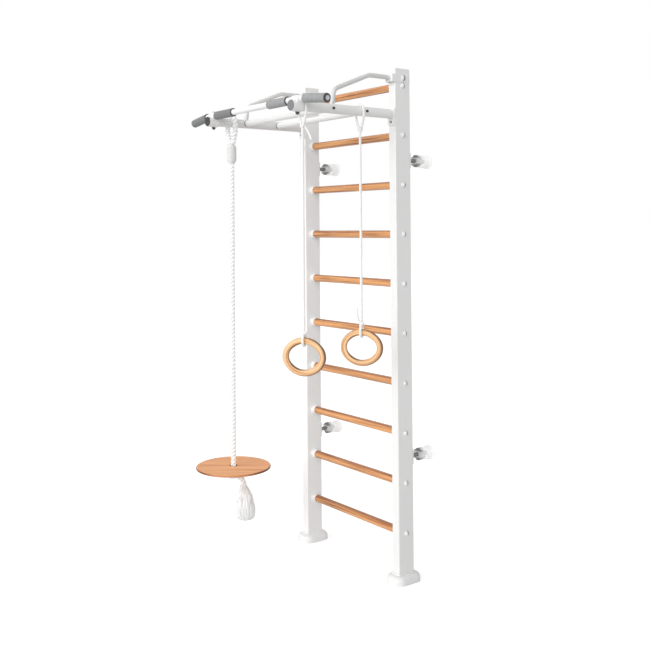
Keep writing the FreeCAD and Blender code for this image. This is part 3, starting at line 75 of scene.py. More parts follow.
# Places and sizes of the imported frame

UPRIGHT_X = 0.310
FRAME_Y = -0.150
ARM_Z = 1.880
ARM_RADIUS = 0.019
PLATE_Y = FRAME_Y - 0.0455
BRACE_Y = FRAME_Y - 0.3467
BRACE_RADIUS = 0.0095
RUNG_PITCH = 0.200
LOWEST_RUNG_Z = 0.195
LOWEST_KNOB_Z = 0.495
KNOB_PITCH = 1.200
SWING = Vector((-UPRIGHT_X, FRAME_Y - 0.419, 0))
DISC_LOW, DISC_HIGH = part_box("swing_disc")
DISC_RADIUS = (DISC_HIGH[0] - DISC_LOW[0]) / 2
BAR_TIP = Vector((0.487, FRAME_Y - 0.501, ARM_Z + 0.009))
BAR_NECK = Vector((0.345, FRAME_Y - 0.507, ARM_Z + 0.024))
OUTER_GRIP_LENGTH = 0.130
GRIP_BORE = 0.0127
GRIP_EDGE = 0.0022

RING_TURN = math.radians(32)  # of both rings, about their cords
RING_HALF_HEIGHT = 0.0725
RING_BAND = 0.025
RING_WOOD_RADIUS = 0.0095
RINGS = {
    "front": {"y": FRAME_Y - 0.484, "z": 0.944, "knot_rise": 0.014},
    "rear": {"y": FRAME_Y - 0.207, "z": 0.955, "knot_rise": 0.020},
}

# Places and sizes of the ropes and cords

OCTAGON = math.tan(math.radians(22.5))  # half an octagon's side, for one as its inner radius
HANG_GAP = 0.0004
BLUNT_SHARE = 0.55  # of a cord's thickness, left at its blunt end
POLE = 0.0001  # radius that a turned piece keeps at its axis
SWING_BEND_DROP = 0.042
SWING_PIVOT_Z = ARM_Z - 0.111
SWING_STRAND_REACH, SWING_LEFT_REACH = 0.0222, 0.0232
ROPE_TOP_Z = 1.760
DISC_GAP = 0.0055
BINDING_RADIUS = 0.021
BINDING_LOW_Z = 1.706
BINDING_DOME_STEPS = 7
STOPPER_DROP, STOPPER_RADIUS, STOPPER_ROPE, STOPPER_STRAND = 0.0225, 0.029, 0.024, 0.0105
TAIL_Z = 0.284
TAIL_SHARES = ((0, 3.3), (1.15, 3.0), (2.05, 1.6), (2.1, -2.0))
TASSEL_ASIDE = 0.050
TASSEL_WIRE = 0.0012
TASSEL_WANDER = 0.008
TASSEL_LEAN = 0.0085
RING_BEND_DROP = 0.0298
RING_FOOT_X, RING_FOOT_DROP = 0.00887, 0.0638
RING_KNOT_DROP = 0.071
KNOT_RADIUS, KNOT_CORD, KNOT_SIDE = 0.0115, 0.009, 0.0056
KNOT_TOP = 0.0102
FRONT_END_SHARES = ((0, 0), (1.8, -0.7), (3.4, -5.7))
REAR_END_SHARES = ((0, 0), (-2.1, 1.3), (-1.7, 6.0))

# Where a finish starts and stops to blend into the next one, along an axis or away from one

PAINTED_LIGHT_X = (-0.29, 0.25)
PAINTED_SHADE_LOW_X = (-0.20, 0.20)
PAINTED_SHADE_LOW_Z = (0.05, 0.80)
JOINT_SHADE_X = (UPRIGHT_X - 0.0255, UPRIGHT_X - 0.0240)
BOLT_SHADE_BACK = (0.0, 0.0030)
BOLT_CAP_BACK = (0.009, 0.010)
CAP_SHADE_X = (-0.10, 0.10)
KNOB_LOBE_SHADE = (0.007, 0.018)
KNOB_BACK_Y = (-0.0640, -0.0520)
SLEEVE_Y = (-0.0560, -0.0552)
PLUG_RIM = (0.0088, 0.0100)
GRIP_SHADE_X = (-0.20, 0.20)
RUNG_TOP_SHADE = (0.0085, 0.0125)
RUNG_UNDERSIDE_SHADE = (0.0125, 0.0160)
DISC_RIM = (DISC_RADIUS - 0.0025, DISC_RADIUS - 0.0010)
DISC_HOLE_SHADE = (0.0160, 0.0200)
DISC_RIM_SHADE_SIDE = (0.05, 0.13)
RING_OUTSIDE = (0.0730, 0.0768)
RING_OUTSIDE_SHADE_X = (-0.03, 0.05)
RING_INSIDE = (0.0545, 0.0588)
RING_INSIDE_SHADE_X = (-0.03, 0.04)

# Lengths in which a finish repeats, depths of its relief, and the light

RUNG_GROWTH = 0.0026
DISC_GROWTH = 0.0052
DISC_PLY = 0.0028
RING_PLY = 0.0042
THREAD_PITCH = 0.0025
PAINT_DEPTH = 0.00012
WOOD_DEPTH = 0.00012
RING_WOOD_DEPTH = 0.00010
GRAIN_DEPTH = 0.00008
SPECK_DEPTH = 0.00005
PLUG_DEPTH = 0.00006
FOAM_DEPTH = 0.0003
FIBRE_DEPTH = 0.0004
YARN_DEPTH = 0.0005
THREAD_DEPTH = 0.0008
WELD_RIPPLE = 0.0026
WORLD_LIGHT = 0.47
FLOOR_GLOW = 0.58
FLOOR_REACH = 30
LAMPS = {
    "front": {"way": (-0.12, -0.94, 0.32), "strength": 1.94, "spread": 60},
    "side": {"way": (0.74, -0.60, 0.30), "strength": 0.84, "spread": 40},
}


def colour(name, words, value):
    return FloatVectorProperty(name=name, description=words, default=value, subtype="COLOR",
                               min=0, max=1, size=3)


def length(name, words, value):
    return FloatProperty(name=name, description=words, default=value, unit="LENGTH", min=0, precision=4)


class WallBarsSizes(bpy.types.PropertyGroup):
    """Sizes of the pieces that are made here."""

    rope: length("Swing rope", "Diameter of the swing's rope", 0.024)
    rope_lay: length("Rope lay", "Length in which one strand of the swing's rope goes round once", 0.051)
    cord: length("Ring cord", "Diameter of the rings' cords", 0.010)
    binding_cord: length("Binding cord", "Diameter of the cord wound round the swing's rope", 0.0036)
    grip: length("Grip", "Diameter of the foam grips", 0.035)
    weld: length("Weld", "Radius of the weld beads", 0.0018)
    fibres: IntProperty(name="Fibres", description="Number of loose fibres in the rope's frayed end",
                        default=420, min=10)


class WallBarsColours(bpy.types.PropertyGroup):
    """Colours of the finishes."""

    paint: colour("Paint", "White powder coat", (0.86, 0.862, 0.855))
    plastic: colour("Plastic", "White moulded plastic", (0.88, 0.88, 0.875))
    knob: colour("Knob", "Gray moulded plastic of the star knobs", (0.40, 0.405, 0.41))
    rung_dark: colour("Rung, dark", "Late wood of the rungs", (0.25, 0.07, 0.016))
    rung_light: colour("Rung, light", "Early wood of the rungs", (0.86, 0.41, 0.145))
    disc_dark: colour("Disc, dark", "Late wood of the disc", (0.64, 0.21, 0.075))
    disc_light: colour("Disc, light", "Early wood of the disc", (1.0, 0.50, 0.235))
    ring_dark: colour("Ring, dark", "Late wood of the rings", (0.58, 0.26, 0.10))
    ring_light: colour("Ring, light", "Early wood of the rings", (0.95, 0.62, 0.33))
    foam: colour("Foam", "Gray foam of the grips", (0.325, 0.33, 0.335))
    cap: colour("Cap", "Gray plastic of the arms' end caps", (0.17, 0.175, 0.18))
    plug: colour("Plug", "Pale plugs in the pull-up bar", (0.62, 0.65, 0.68))
    plug_rim: colour("Plug rim", "Dark rim round the pull-up bar's plugs", (0.05, 0.052, 0.055))
    screw: colour("Screw", "Black screws and cap nuts", (0.018, 0.02, 0.024))
    zinc_dark: colour("Zinc, dark", "Dull zinc in its darker specks", (0.20, 0.205, 0.21))
    zinc_light: colour("Zinc, light", "Dull zinc in its lighter specks", (0.38, 0.38, 0.37))
    rod_dark: colour("Rod, dark", "Darker specks of the wall spindles", (0.16, 0.163, 0.168))
    rod_light: colour("Rod, light", "Lighter specks of the wall spindles", (0.34, 0.34, 0.33))
    # Painted shade in the grooves of the spindles' thread.
    groove_shade: colour("Groove", "Grooves of the wall spindles' thread", (0.07, 0.072, 0.075))
    rope: colour("Rope", "Off-white rope", (0.955, 0.962, 0.965))
    cord: colour("Cord", "White cord", (0.93, 0.93, 0.925))
    floor: colour("Floor", "Pale studio floor", (0.72, 0.72, 0.72))


# Node trees and shader maths

class Shade:
    """A socket that adds nodes of its own when it is used in an expression."""

    def __init__(self, builder, socket):
        self.builder = builder
        self.socket = socket

    def maths(self, operation, *values):
        return self.builder.node("ShaderNodeMath", dict(enumerate(values)), operation=operation)

    def __add__(self, other):
        return self.maths("ADD", self, other)

    def __sub__(self, other):
        return self.maths("SUBTRACT", self, other)

    def __rsub__(self, other):
        return self.maths("SUBTRACT", other, self)

    def __mul__(self, other):
        return self.maths("MULTIPLY", self, other)

    def __truediv__(self, other):
        return self.maths("DIVIDE", self, other)

    def __abs__(self):
        return self.maths("ABSOLUTE", self)

    __radd__ = __add__
    __rmul__ = __mul__

    def sine(self):
        return self.maths("SINE", self)

    def wave(self, period):
        """A wave between 0 and 1 with the given period."""
        return (self * (2 * math.pi / period)).sine() * 0.5 + 0.5

    def floor(self):
        return self.maths("FLOOR", self)

    def root(self):
        return self.maths("SQRT", self)

    def larger(self, other):
        return self.maths("MAXIMUM", self, other)

    def over(self, low, high):
        """0 below low, 1 above high."""
        return self.builder.node("ShaderNodeMapRange", {0: self, 1: low, 2: high},
                                 interpolation_type="SMOOTHSTEP")


class Builder:
    """Adds nodes to a tree and feeds their sockets."""

    def __init__(self, tree):
        self.tree = tree

    def node(self, kind, values=None, output=0, **settings):
        made = self.tree.nodes.new(kind)
        for name, setting in settings.items():
            setattr(made, name, setting)
        for key, value in (values or {}).items():
            self.feed(made.inputs[key], value)
        return Shade(self, made.outputs[output])

    def feed(self, socket, value):
        if isinstance(value, Shade):
            self.tree.links.new(value.socket, socket)
        elif socket.type == "RGBA" and len(value) == 3:
            socket.default_value = (*value, 1)
        else:
            socket.default_value = value

    def parts(self, vector):
        first = self.node("ShaderNodeSeparateXYZ", {0: vector})
        return [Shade(self, socket) for socket in first.socket.node.outputs]

    def join(self, x, y, z):
        return self.node("ShaderNodeCombineXYZ", {0: x, 1: y, 2: z})


class Finish(Builder):
    """A material under construction."""

    def __init__(self, name):
        self.material = bpy.data.materials.new(name)
        self.material.use_nodes = True
        super().__init__(self.material.node_tree)
        self.shader = self.tree.nodes["Principled BSDF"]

    def place(self):
        """Coordinates of the object, which are the frame's."""
        return self.node("ShaderNodeTexCoord", output=3)

    def uv(self):
        return self.node("ShaderNodeTexCoord", output=2)

    def moved(self, vector, shift=(0, 0, 0), turn=(0, 0, 0), scale=(1, 1, 1)):
        return self.node("ShaderNodeMapping", {0: vector, 1: shift, 2: turn, 3: scale})

    def about(self, centre, angle):
        """Coordinates from a centre, turned round the upright axis."""
        shifted = self.moved(self.place(), shift=tuple(-value for value in centre))
        return self.moved(shifted, turn=(0, 0, angle))

    def noise(self, vector, scale, detail=2.0, roughness=0.5):
        values = {"Vector": vector, "Scale": scale, "Detail": detail, "Roughness": roughness}
        return self.node("ShaderNodeTexNoise", values)

    def chance(self, number):
        """A steady random value for each whole number."""
        return self.node("ShaderNodeTexWhiteNoise", {"W": number}, noise_dimensions="1D")

    def mix(self, share, first, second):
        return self.node("ShaderNodeMix", {0: share, 6: first, 7: second}, output=2, data_type="RGBA")

    def ramp(self, value, *stops):
        made = self.node("ShaderNodeValToRGB", {0: value})
        elements = made.socket.node.color_ramp.elements
        while len(elements) < len(stops):
            elements.new(0.5)
        for element, (place, tone) in zip(elements, stops):
            element.position = place
            element.color = (*tone, 1)
        return made

    def bump(self, height, depth, strength):
        return self.node("ShaderNodeBump", {"Strength": strength, "Distance": depth, "Height": height})

    def done(self, tint, roughness, normal=None, glow=0.0, **fixed):
        """Feed the shader. Fixed values are set on its own sockets, named with underscores for spaces."""
        self.feed(self.shader.inputs["Base Color"], tint)
        self.feed(self.shader.inputs["Roughness"], roughness)
        if normal:
            self.feed(self.shader.inputs["Normal"], normal)
        # The glow is painted light: an emission in the base colour.
        if glow:
            self.feed(self.shader.inputs["Emission Color"], tint)
            self.shader.inputs["Emission Strength"].default_value = glow
        for name, value in fixed.items():
            self.shader.inputs[name.replace("_", " ")].default_value = value
        return self.material


class Tree(Builder):
    """A geometry nodes tree under construction, with named inputs for its sizes."""

    def __init__(self, name, inputs):
        super().__init__(bpy.data.node_groups.new(name, "GeometryNodeTree"))
        interface = self.tree.interface
        interface.new_socket("Geometry", in_out="INPUT", socket_type="NodeSocketGeometry")
        interface.new_socket("Geometry", in_out="OUTPUT", socket_type="NodeSocketGeometry")
        self.values = {}
        for label, (kind, value) in inputs.items():
            item = interface.new_socket(label, in_out="INPUT", socket_type=kind)
            self.values[item.identifier] = value
        self.start = self.tree.nodes.new("NodeGroupInput")
        self.stop = self.tree.nodes.new("NodeGroupOutput")

    def entry(self, label):
        return Shade(self, self.start.outputs[label])

    def chance(self, low, high, seed):
        """A random value for each point."""
        return self.node("FunctionNodeRandomValue", {2: low, 3: high, "Seed": seed}, output=1,
                         data_type="FLOAT")

    def circle(self, sides, radius):
        return self.node("GeometryNodeCurvePrimitiveCircle", {"Resolution": sides, "Radius": radius})

    def copies(self, points, thing, **values):
        """A real copy of a thing at each point."""
        placed = self.node("GeometryNodeInstanceOnPoints", {"Points": points, "Instance": thing, **values})
        return self.node("GeometryNodeRealizeInstances", {0: placed})

    def sweep(self, line, outline, material, **values):
        """Give the lines a skin and the material, and end the tree."""
        skin = self.node("GeometryNodeCurveToMesh", {0: line, 1: outline})
        for name, value in values.items():
            self.feed(skin.socket.node.inputs[name.replace("_", " ")], value)
        painted = self.node("GeometryNodeSetMaterial", {0: skin, "Material": material})
        self.tree.links.new(painted.socket, self.stop.inputs[0])


def scaled(tone, share):
    return tuple(channel * share for channel in tone)


def get_material(name, make, *values):
    """One material of each name."""
    found = bpy.data.materials.get(name)
    return found or make(*values)


# Finishes

def powder_coat(tone, name="white powder coat", joint_shade=None):
    """The last argument, if there is one, is where a dark seam of painted shade, at the ends of a cross tube
    where it meets the arms, starts and stops to blend in on both sides.
    """
    finish = Finish(name)
    place = finish.place()
    orange_peel = finish.noise(place, 420, 2)
    cloud = finish.noise(place, 5, 3)
    height = orange_peel * 0.8 + finish.noise(place, 2400, 1) * 0.2
    tint = finish.mix(cloud.over(0.35, 0.7), scaled(tone, 0.985), tone)
    x, _, z = finish.parts(place)
    # Painted light: the paint is made lighter on the left side of the frame.
    tint = finish.mix(x.over(*PAINTED_LIGHT_X), scaled(tone, 1.06), tint)
    # Painted shade: the right side of the frame darkens towards the floor, below 0.8 m.
    low_shade = (1 - z.over(*PAINTED_SHADE_LOW_Z)) * x.over(*PAINTED_SHADE_LOW_X)
    tint = finish.mix(low_shade, tint, scaled(tone, 0.94))
    # Painted shade in the seam where the cross tube meets each arm.
    if joint_shade:
        tint = finish.mix(abs(x).over(*joint_shade) * 0.9, tint, scaled(tone, 0.12))
    relief = finish.bump(height, PAINT_DEPTH, 0.5)
    return finish.done(tint, cloud * 0.10 + 0.27, relief, Specular_IOR_Level=0.5)


def bolt_paint(tone):
    """Domed white bolt caps. Those of the rungs have painted shade on their rear half."""
    finish = Finish("white bolt caps")
    place = finish.place()
    back = finish.parts(place)[1] - FRAME_Y
    cap_noise = finish.noise(place, 700, 3)
    # Painted shade on the rear half of each rung's bolt cap, with a noisy edge.
    share = (back + cap_noise * 0.002).over(*BOLT_SHADE_BACK) * (1 - back.over(*BOLT_CAP_BACK))
    tint = finish.mix(share * 0.9, tone, scaled(tone, 0.22))
    return finish.done(tint, cap_noise * 0.1 + 0.3, finish.bump(cap_noise, SPECK_DEPTH, 0.5), Specular_IOR_Level=0.5)


def moulded(name, tone, rough, glow=0.0):
    """Moulded plastic with a spark-eroded grain and uneven gloss. The glow is painted light: an emission in
    the plastic's own colour.
    """
    finish = Finish(name)
    place = finish.place()
    texture = finish.noise(place, 1800, 2)
    cloud = finish.noise(place, 18, 2)
    tint = finish.mix(cloud.over(0.3, 0.75), scaled(tone, 0.95), tone)
    return finish.done(tint, cloud * 0.12 + rough, finish.bump(texture, GRAIN_DEPTH, 0.6), glow)


def cap_plastic(tone):
    """Gray plastic, with painted shade that makes the left piece darker than the right one."""
    finish = Finish("gray end caps")
    place = finish.place()
    texture = finish.noise(place, 1500, 2)
    lit_side = finish.parts(place)[0].over(*CAP_SHADE_X)
    # Painted shade: the left cap is made much darker than the right one.
    tint = finish.mix(lit_side, scaled(tone, 0.28), scaled(tone, 1.5))
    tint = finish.mix(texture.over(0.4, 0.7) * 0.1, tint, tone)
    return finish.done(tint, texture * 0.12 + 0.4, finish.bump(texture, GRAIN_DEPTH, 0.6))


def knob_plastic(front, back):
    """Two shots of plastic: a gray front and a white back. The front's gray is partly painted shade of the
    upright's shadow, and painted shade darkens it above and below the middle.
    """
    finish = Finish("two-colour knob plastic")
    place = finish.place()
    _, y, z = finish.parts(place)
    texture = finish.noise(place, 1400, 2)
    rise = z - LOWEST_KNOB_Z
    level = rise - (rise / KNOB_PITCH + 0.5).floor() * KNOB_PITCH
    # Painted shade: the front darkens at the top and bottom, away from the middle.
    gray = finish.mix(abs(level).over(*KNOB_LOBE_SHADE), scaled(front, 1.9), scaled(front, 0.50))
    tint = finish.mix(y.over(*KNOB_BACK_Y), gray, back)
    tint = finish.mix(texture.over(0.4, 0.7) * 0.1, tint, front)
    return finish.done(tint, texture * 0.12 + 0.34, finish.bump(texture, GRAIN_DEPTH, 0.6))


def black_screw(tone):
    finish = Finish("black oxide screws")
    speck = finish.noise(finish.place(), 900, 3)
    tint = finish.mix(speck.over(0.45, 0.8), tone, scaled(tone, 2.4))
    relief = finish.bump(speck, GRAIN_DEPTH, 0.6)
    return finish.done(tint, speck * 0.25 + 0.3, relief, Specular_IOR_Level=0.6)


def zinc(dark, light):
    finish = Finish("dull zinc")
    speck = finish.noise(finish.place(), 600, 3)
    tint = finish.mix(speck, dark, light)
    return finish.done(tint, speck * 0.2 + 0.25, finish.bump(speck, SPECK_DEPTH, 0.5), Metallic=1.0)


def threaded_rod(dark, light, groove_shade, sleeve_tone):
    """The wall spindles: dull zinc with a thread whose grooves get painted shade, and a white plastic sleeve
    behind the knob.
    """
    finish = Finish("threaded spindles")
    place = finish.place()
    _, y, _ = finish.parts(place)
    speck = finish.noise(place, 600, 3)
    thread = y.wave(THREAD_PITCH)
    sleeve = y.over(*SLEEVE_Y)
    tint = finish.mix(speck, dark, light)
    # Painted shade in the grooves of the thread.
    tint = finish.mix(thread.over(0.3, 0.9) * 0.6, tint, groove_shade)
    tint = finish.mix(sleeve, tint, sleeve_tone)
    finish.feed(finish.shader.inputs["Metallic"], 1 - sleeve)
    height = thread * (1 - sleeve) + speck * 0.05
    return finish.done(tint, speck * 0.2 + 0.3, finish.bump(height, THREAD_DEPTH, 0.8))


def bar_plug(tone, rim):
    """The plug in the end of the pull-up bar: a pale face inside a dark rim."""
    finish = Finish("pale bar plug")
    x, y, z = finish.parts(finish.place())
    across = abs(x) - BAR_TIP.x
    level = y - BAR_TIP.y
    rise = z - BAR_TIP.z
    reach = (across * across + level * level + rise * rise).root()
    speck = finish.noise(finish.place(), 1500, 2)
    pale = finish.mix(speck, scaled(tone, 0.93), tone)
    tint = finish.mix(reach.over(*PLUG_RIM), pale, rim)
    return finish.done(tint, speck * 0.1 + 0.3, finish.bump(speck, PLUG_DEPTH, 0.5))


def foam(tone):
    """Closed foam: a fine skin with pores and worn patches, with painted shade at its ends and on the left
    grips.
    """
    finish = Finish("gray grip foam")
    place = finish.place()
    pores = finish.node("ShaderNodeTexVoronoi", {"Vector": place, "Scale": 900})
    soft = finish.noise(place, 260, 3)
    worn = finish.noise(place, 22, 2)
    height = pores * 0.6 + soft * 0.4
    tint = finish.mix(soft.over(0.3, 0.75), scaled(tone, 0.82), scaled(tone, 1.15))
    tint = finish.mix(worn.over(0.55, 0.85) * 0.35, tint, scaled(tone, 1.5))
    # Painted shade: the grips on the left are darker.
    tint = finish.mix(finish.parts(place)[0].over(*GRIP_SHADE_X), scaled(tone, 0.56), tint)
    # Painted shade at both ends of each grip.
    _, along, _ = finish.parts(finish.uv())
    end = abs(along - 0.5).over(0.475, 0.492)
    tint = finish.mix(end, tint, scaled(tone, 0.22))
    return finish.done(tint, worn * 0.15 + 0.62, finish.bump(height, FOAM_DEPTH, 0.7), Sheen_Weight=0.15)


def growth(finish, along, across, up, seed, dark, light, ring=RUNG_GROWTH, shift=0.0):
    """Colour and height of sawn wood whose grain runs along the first coordinate."""
    drift = finish.noise(finish.join(along * 1.6, across * 9, up * 9 + seed * 17), 1, 3)
    aside = across - (seed * 0.09 - 0.045)
    rise = up - (seed * 0.05 + 0.028)
    from_heart = (aside * aside + rise * rise).root() + drift * 0.012
    fibre = finish.noise(finish.join(along * 14, across * 620, up * 620), 1, 3, 0.6)
    pores = finish.noise(finish.join(along * 70 + seed * 9, across * 1500, up * 1500), 1, 2).over(0.60, 0.72)
    streak = finish.noise(finish.join(along * 2.2, across * 55, up * 55 + seed * 5), 1, 3)
    band = finish.noise(finish.join(along * 3.1, across * 130, up * 130 + seed * 3), 1, 2)
    tone = from_heart.wave(ring) * 0.22 + fibre * 0.33 + streak * 0.45
    tone = tone * 0.45 + band * 0.55 + shift
    middle = tuple(0.35 * low + 0.65 * high for low, high in zip(dark, light))
    tint = finish.ramp(tone, (0.40, dark), (0.49, middle), (0.57, light))
    tint = finish.mix(pores * 0.35, tint, scaled(dark, 0.8))
    return tint, tone * 0.5 - pores * 0.5


def rung_wood(dark, light):
    finish = Finish("lacquered beech rungs")
    x, y, z = finish.parts(finish.place())
    rung = ((z - (LOWEST_RUNG_Z - RUNG_PITCH / 2)) / RUNG_PITCH).floor()
    level = z - rung * RUNG_PITCH - LOWEST_RUNG_Z
    seed = finish.chance(rung + 3.1)
    tint, height = growth(finish, x + rung * 2.7, y - FRAME_Y, level, seed, dark, light)
    tint = finish.mix(seed * 0.18, tint, scaled(dark, 1.25))
    # Painted shade along the top and the underside of each rung, with a wandering edge.
    wander = finish.noise(finish.join(x * 4, rung * 3, 0), 1, 2) * 0.006 - 0.003
    top_shade = (level + wander).over(*RUNG_TOP_SHADE)
    underside_shade = (level * -1 + wander).over(*RUNG_UNDERSIDE_SHADE)
    tint = finish.mix(top_shade * 0.62 + underside_shade * 0.5, tint, scaled(dark, 0.9))
    relief = finish.bump(height, WOOD_DEPTH, 0.6)
    return finish.done(tint, height * 0.1 + 0.36, relief, Coat_Weight=0.25, Coat_Roughness=0.25)


def disc_wood(dark, light):
    """Birch plywood: a grained face, and plies that show at the rim. The rim has painted shade at its left
    and right ends as the camera sees them, and the face painted shade round the rope's hole.
    """
    finish = Finish("lacquered plywood disc")
    centre = (SWING.x, SWING.y, DISC_LOW[2])
    x, y, z = finish.parts(finish.about(centre, math.radians(-48)))
    seed = finish.chance(4.0)
    tint, height = growth(finish, x, y * 0.8, z + y * 0.25, seed, dark, light, DISC_GROWTH, 0.045)
    across = (x * x + y * y).root()
    rim = across.over(*DISC_RIM)
    # Painted shade round the rope in its hole.
    hole_shade = 1 - across.over(*DISC_HOLE_SHADE)
    plies = z.wave(DISC_PLY).over(0.375, 0.625)
    # Painted shade on the rim, darker towards its left and right ends across the picture.
    aside, away, _ = finish.parts(finish.about(centre, 0))
    side = abs(aside * CAMERA_SIDE.x + away * CAMERA_SIDE.y).over(*DISC_RIM_SHADE_SIDE)
    edge = finish.mix(plies, scaled(dark, 0.75), scaled(light, 0.85))
    edge = finish.mix(side * 0.85, edge, scaled(dark, 0.22))
    tint = finish.mix(rim, tint, edge)
    tint = finish.mix(hole_shade, tint, scaled(dark, 0.22))
    relief = finish.bump(height, WOOD_DEPTH, 0.5)
    return finish.done(tint, height * 0.08 + 0.5, relief, Specular_IOR_Level=0.25)


def ring_wood(name, spot, dark, light):
    """Bent laminated wood: the grain runs round the ring. Painted shade darkens its edges."""
    finish = Finish(name + " ring wood")
    x, y, z = finish.parts(finish.about((UPRIGHT_X, spot["y"], spot["z"]), -RING_TURN))
    along = x.maths("ARCTAN2", x, z * -1) * 0.08
    across = (x * x * 0.82 + z * z * 1.18).root()
    tint, height = growth(finish, along, across - 0.06, y, finish.chance(spot["z"] * 31), dark, light)
    plies = across.wave(RING_PLY)
    tint = finish.mix(plies.over(0.86, 0.99) * 0.3, tint, scaled(dark, 0.9))
    # Painted shade: the outer edge darker on the right, the inner edge darker on the left, and both a little
    # all round.
    outer = across.over(*RING_OUTSIDE) * (x.over(*RING_OUTSIDE_SHADE_X) * 0.75 + 0.25)
    inner = (1 - across.over(*RING_INSIDE)) * ((x * -1).over(*RING_INSIDE_SHADE_X) * 0.8 + 0.2)
    tint = finish.mix(outer + inner, tint, scaled(dark, 0.28))
    relief = finish.bump(height, RING_WOOD_DEPTH, 0.5)
    return finish.done(tint, height * 0.08 + 0.34, relief, Coat_Weight=0.1, Coat_Roughness=0.3)


def twisted_fibre(tone):
    """Rope strands: fine yarns run slantwise along each strand, with fuzz over them."""
    finish = Finish("off-white rope")
    u, v, _ = finish.parts(finish.uv())
    place = finish.place()
    yarns = (u * 39 + v * 150).wave(1)
    fuzz = finish.noise(place, 900, 3)
    cloud = finish.noise(place, 30, 2)
    tint = finish.mix(yarns.over(0.0, 0.6), scaled(tone, 0.80), tone)
    tint = finish.mix(cloud.over(0.4, 0.8) * 0.25, tint, scaled(tone, 0.9))
    relief = finish.bump(yarns * 0.7 + fuzz * 0.3, YARN_DEPTH, 0.5)
    # The glow is painted light that brightens the rope.
    return finish.done(tint, fuzz * 0.1 + 0.8, relief, 0.14, Sheen_Weight=0.2)


def braided_fibre(tone):
    """Braided cord: two sets of yarns cross on its surface."""
    finish = Finish("white braided cord")
    u, v, _ = finish.parts(finish.uv())
    weave = (u * 8 + v * 230).wave(1).larger((u * 8 - v * 230).wave(1))
    fuzz = finish.noise(finish.place(), 1500, 2)
    tint = finish.mix(weave.over(0.25, 0.8), scaled(tone, 0.72), tone)
    relief = finish.bump(weave * 0.8 + fuzz * 0.2, YARN_DEPTH, 0.7)
    # The glow is painted light that brightens the cord.
    return finish.done(tint, fuzz * 0.1 + 0.75, relief, 0.06, Sheen_Weight=0.2)


def loose_fibre(tone):
    finish = Finish("frayed rope fibre")
    place = finish.place()
    strands = finish.noise(finish.moved(place, scale=(600, 600, 30)), 1, 2)
    clumps = finish.noise(finish.moved(place, scale=(170, 170, 9)), 1, 2)
    tint = finish.mix((strands * 0.4 + clumps * 0.6).over(0.40, 0.56), scaled(tone, 0.76), tone)
    relief = finish.bump(strands, FIBRE_DEPTH, 0.6)
    # The glow is painted light that brightens the frayed fibres.
    return finish.done(tint, strands * 0.1 + 0.7, relief, 0.11, Sheen_Weight=0.2)


def studio_floor(tone):
    """A pale floor that keeps the shadow and meets the white background without an edge."""
    finish = Finish("studio floor")
    speck = finish.noise(finish.place(), 3, 2)
    tint = finish.mix(speck, scaled(tone, 0.995), tone)
    finish.done(tint, speck * 0.05 + 0.85, Specular_IOR_Level=0.1)
    lit = Shade(finish, finish.shader.outputs[0])
    seen = finish.node("ShaderNodeLightPath", output="Is Camera Ray")
    glossy = finish.node("ShaderNodeLightPath", output="Is Glossy Ray")
    glow = finish.node("ShaderNodeEmission", {"Color": (1, 1, 1), "Strength": FLOOR_GLOW})
    both = finish.node("ShaderNodeAddShader", {0: lit, 1: glow})
    mixed = finish.node("ShaderNodeMixShader", {0: seen.larger(glossy), 1: lit, 2: both})
    finish.feed(finish.tree.nodes["Material Output"].inputs[0], mixed)
    return finish.material


# Mesh helpers

def linked(name, data):
    thing = bpy.data.objects.new(name, data)
    bpy.context.scene.collection.objects.link(thing)
    return thing


def new_piece(name, mesh, material):
    mesh.materials.clear()
    mesh.materials.append(material)
    for face in mesh.polygons:
        face.use_smooth = True
    return linked(name, mesh)


def plain_mesh(name, mesh):
    data = bpy.data.meshes.new(name)
    mesh.to_mesh(data)
    mesh.free()
    return data


def curve_through(name, points, kind="POLY"):
    """An object with a curve that runs through the points, or that they control."""
    curve = bpy.data.curves.new(name, "CURVE")
    curve.dimensions = "3D"
    spline = curve.splines.new(kind)
    spline.points.add(len(points) - 1)
    for control, point in zip(spline.points, points):
        control.co = (*point, 1)
    return linked(name, curve)


def bake(holder, tree, material):
    """Turn a holder with a geometry nodes tree into a plain mesh piece of the same name."""
    name = holder.name
    modifier = holder.modifiers.new("nodes", "NODES")
    modifier.node_group = tree.tree
    for identifier, value in tree.values.items():
        modifier[identifier] = value
    bpy.context.view_layer.update()
    graph = bpy.context.evaluated_depsgraph_get()
    data = bpy.data.meshes.new_from_object(holder.evaluated_get(graph))
    bpy.data.objects.remove(holder)
    data.name = name
    return new_piece(name, data, material)


def angles(count):
    """Evenly spread angles of one full turn."""
    return [2 * math.pi * number / count for number in range(count)]


def smooth_line(points):
    """The points of a smooth curve that the route's points control."""
    holder = curve_through("route", points, "NURBS")
    curve = holder.data
    spline = curve.splines[0]
    spline.order_u = 3
    spline.use_endpoint_u = True
    spline.resolution_u = 16
    mesh = bpy.data.meshes.new_from_object(holder)
    line = [vertex.co.copy() for vertex in mesh.vertices]
    bpy.data.objects.remove(holder)
    bpy.data.curves.remove(curve)
    bpy.data.meshes.remove(mesh)
    return line


def line_length(line):
    return sum((second - first).length for first, second in zip(line, line[1:]))


def even_points(line, step):
    """Points at even distances along a line."""
    lengths = [0.0]
    for first, second in zip(line, line[1:]):
        lengths.append(lengths[-1] + (second - first).length)
    count = max(2, round(lengths[-1] / step))
    points = []
    index = 0
    for number in range(count + 1):
        goal = lengths[-1] * number / count
        while index < len(line) - 2 and lengths[index + 1] < goal:
            index += 1
        span = lengths[index + 1] - lengths[index]
        share = (goal - lengths[index]) / span if span else 0
        points.append(line[index].lerp(line[index + 1], min(1, share)))
    return points


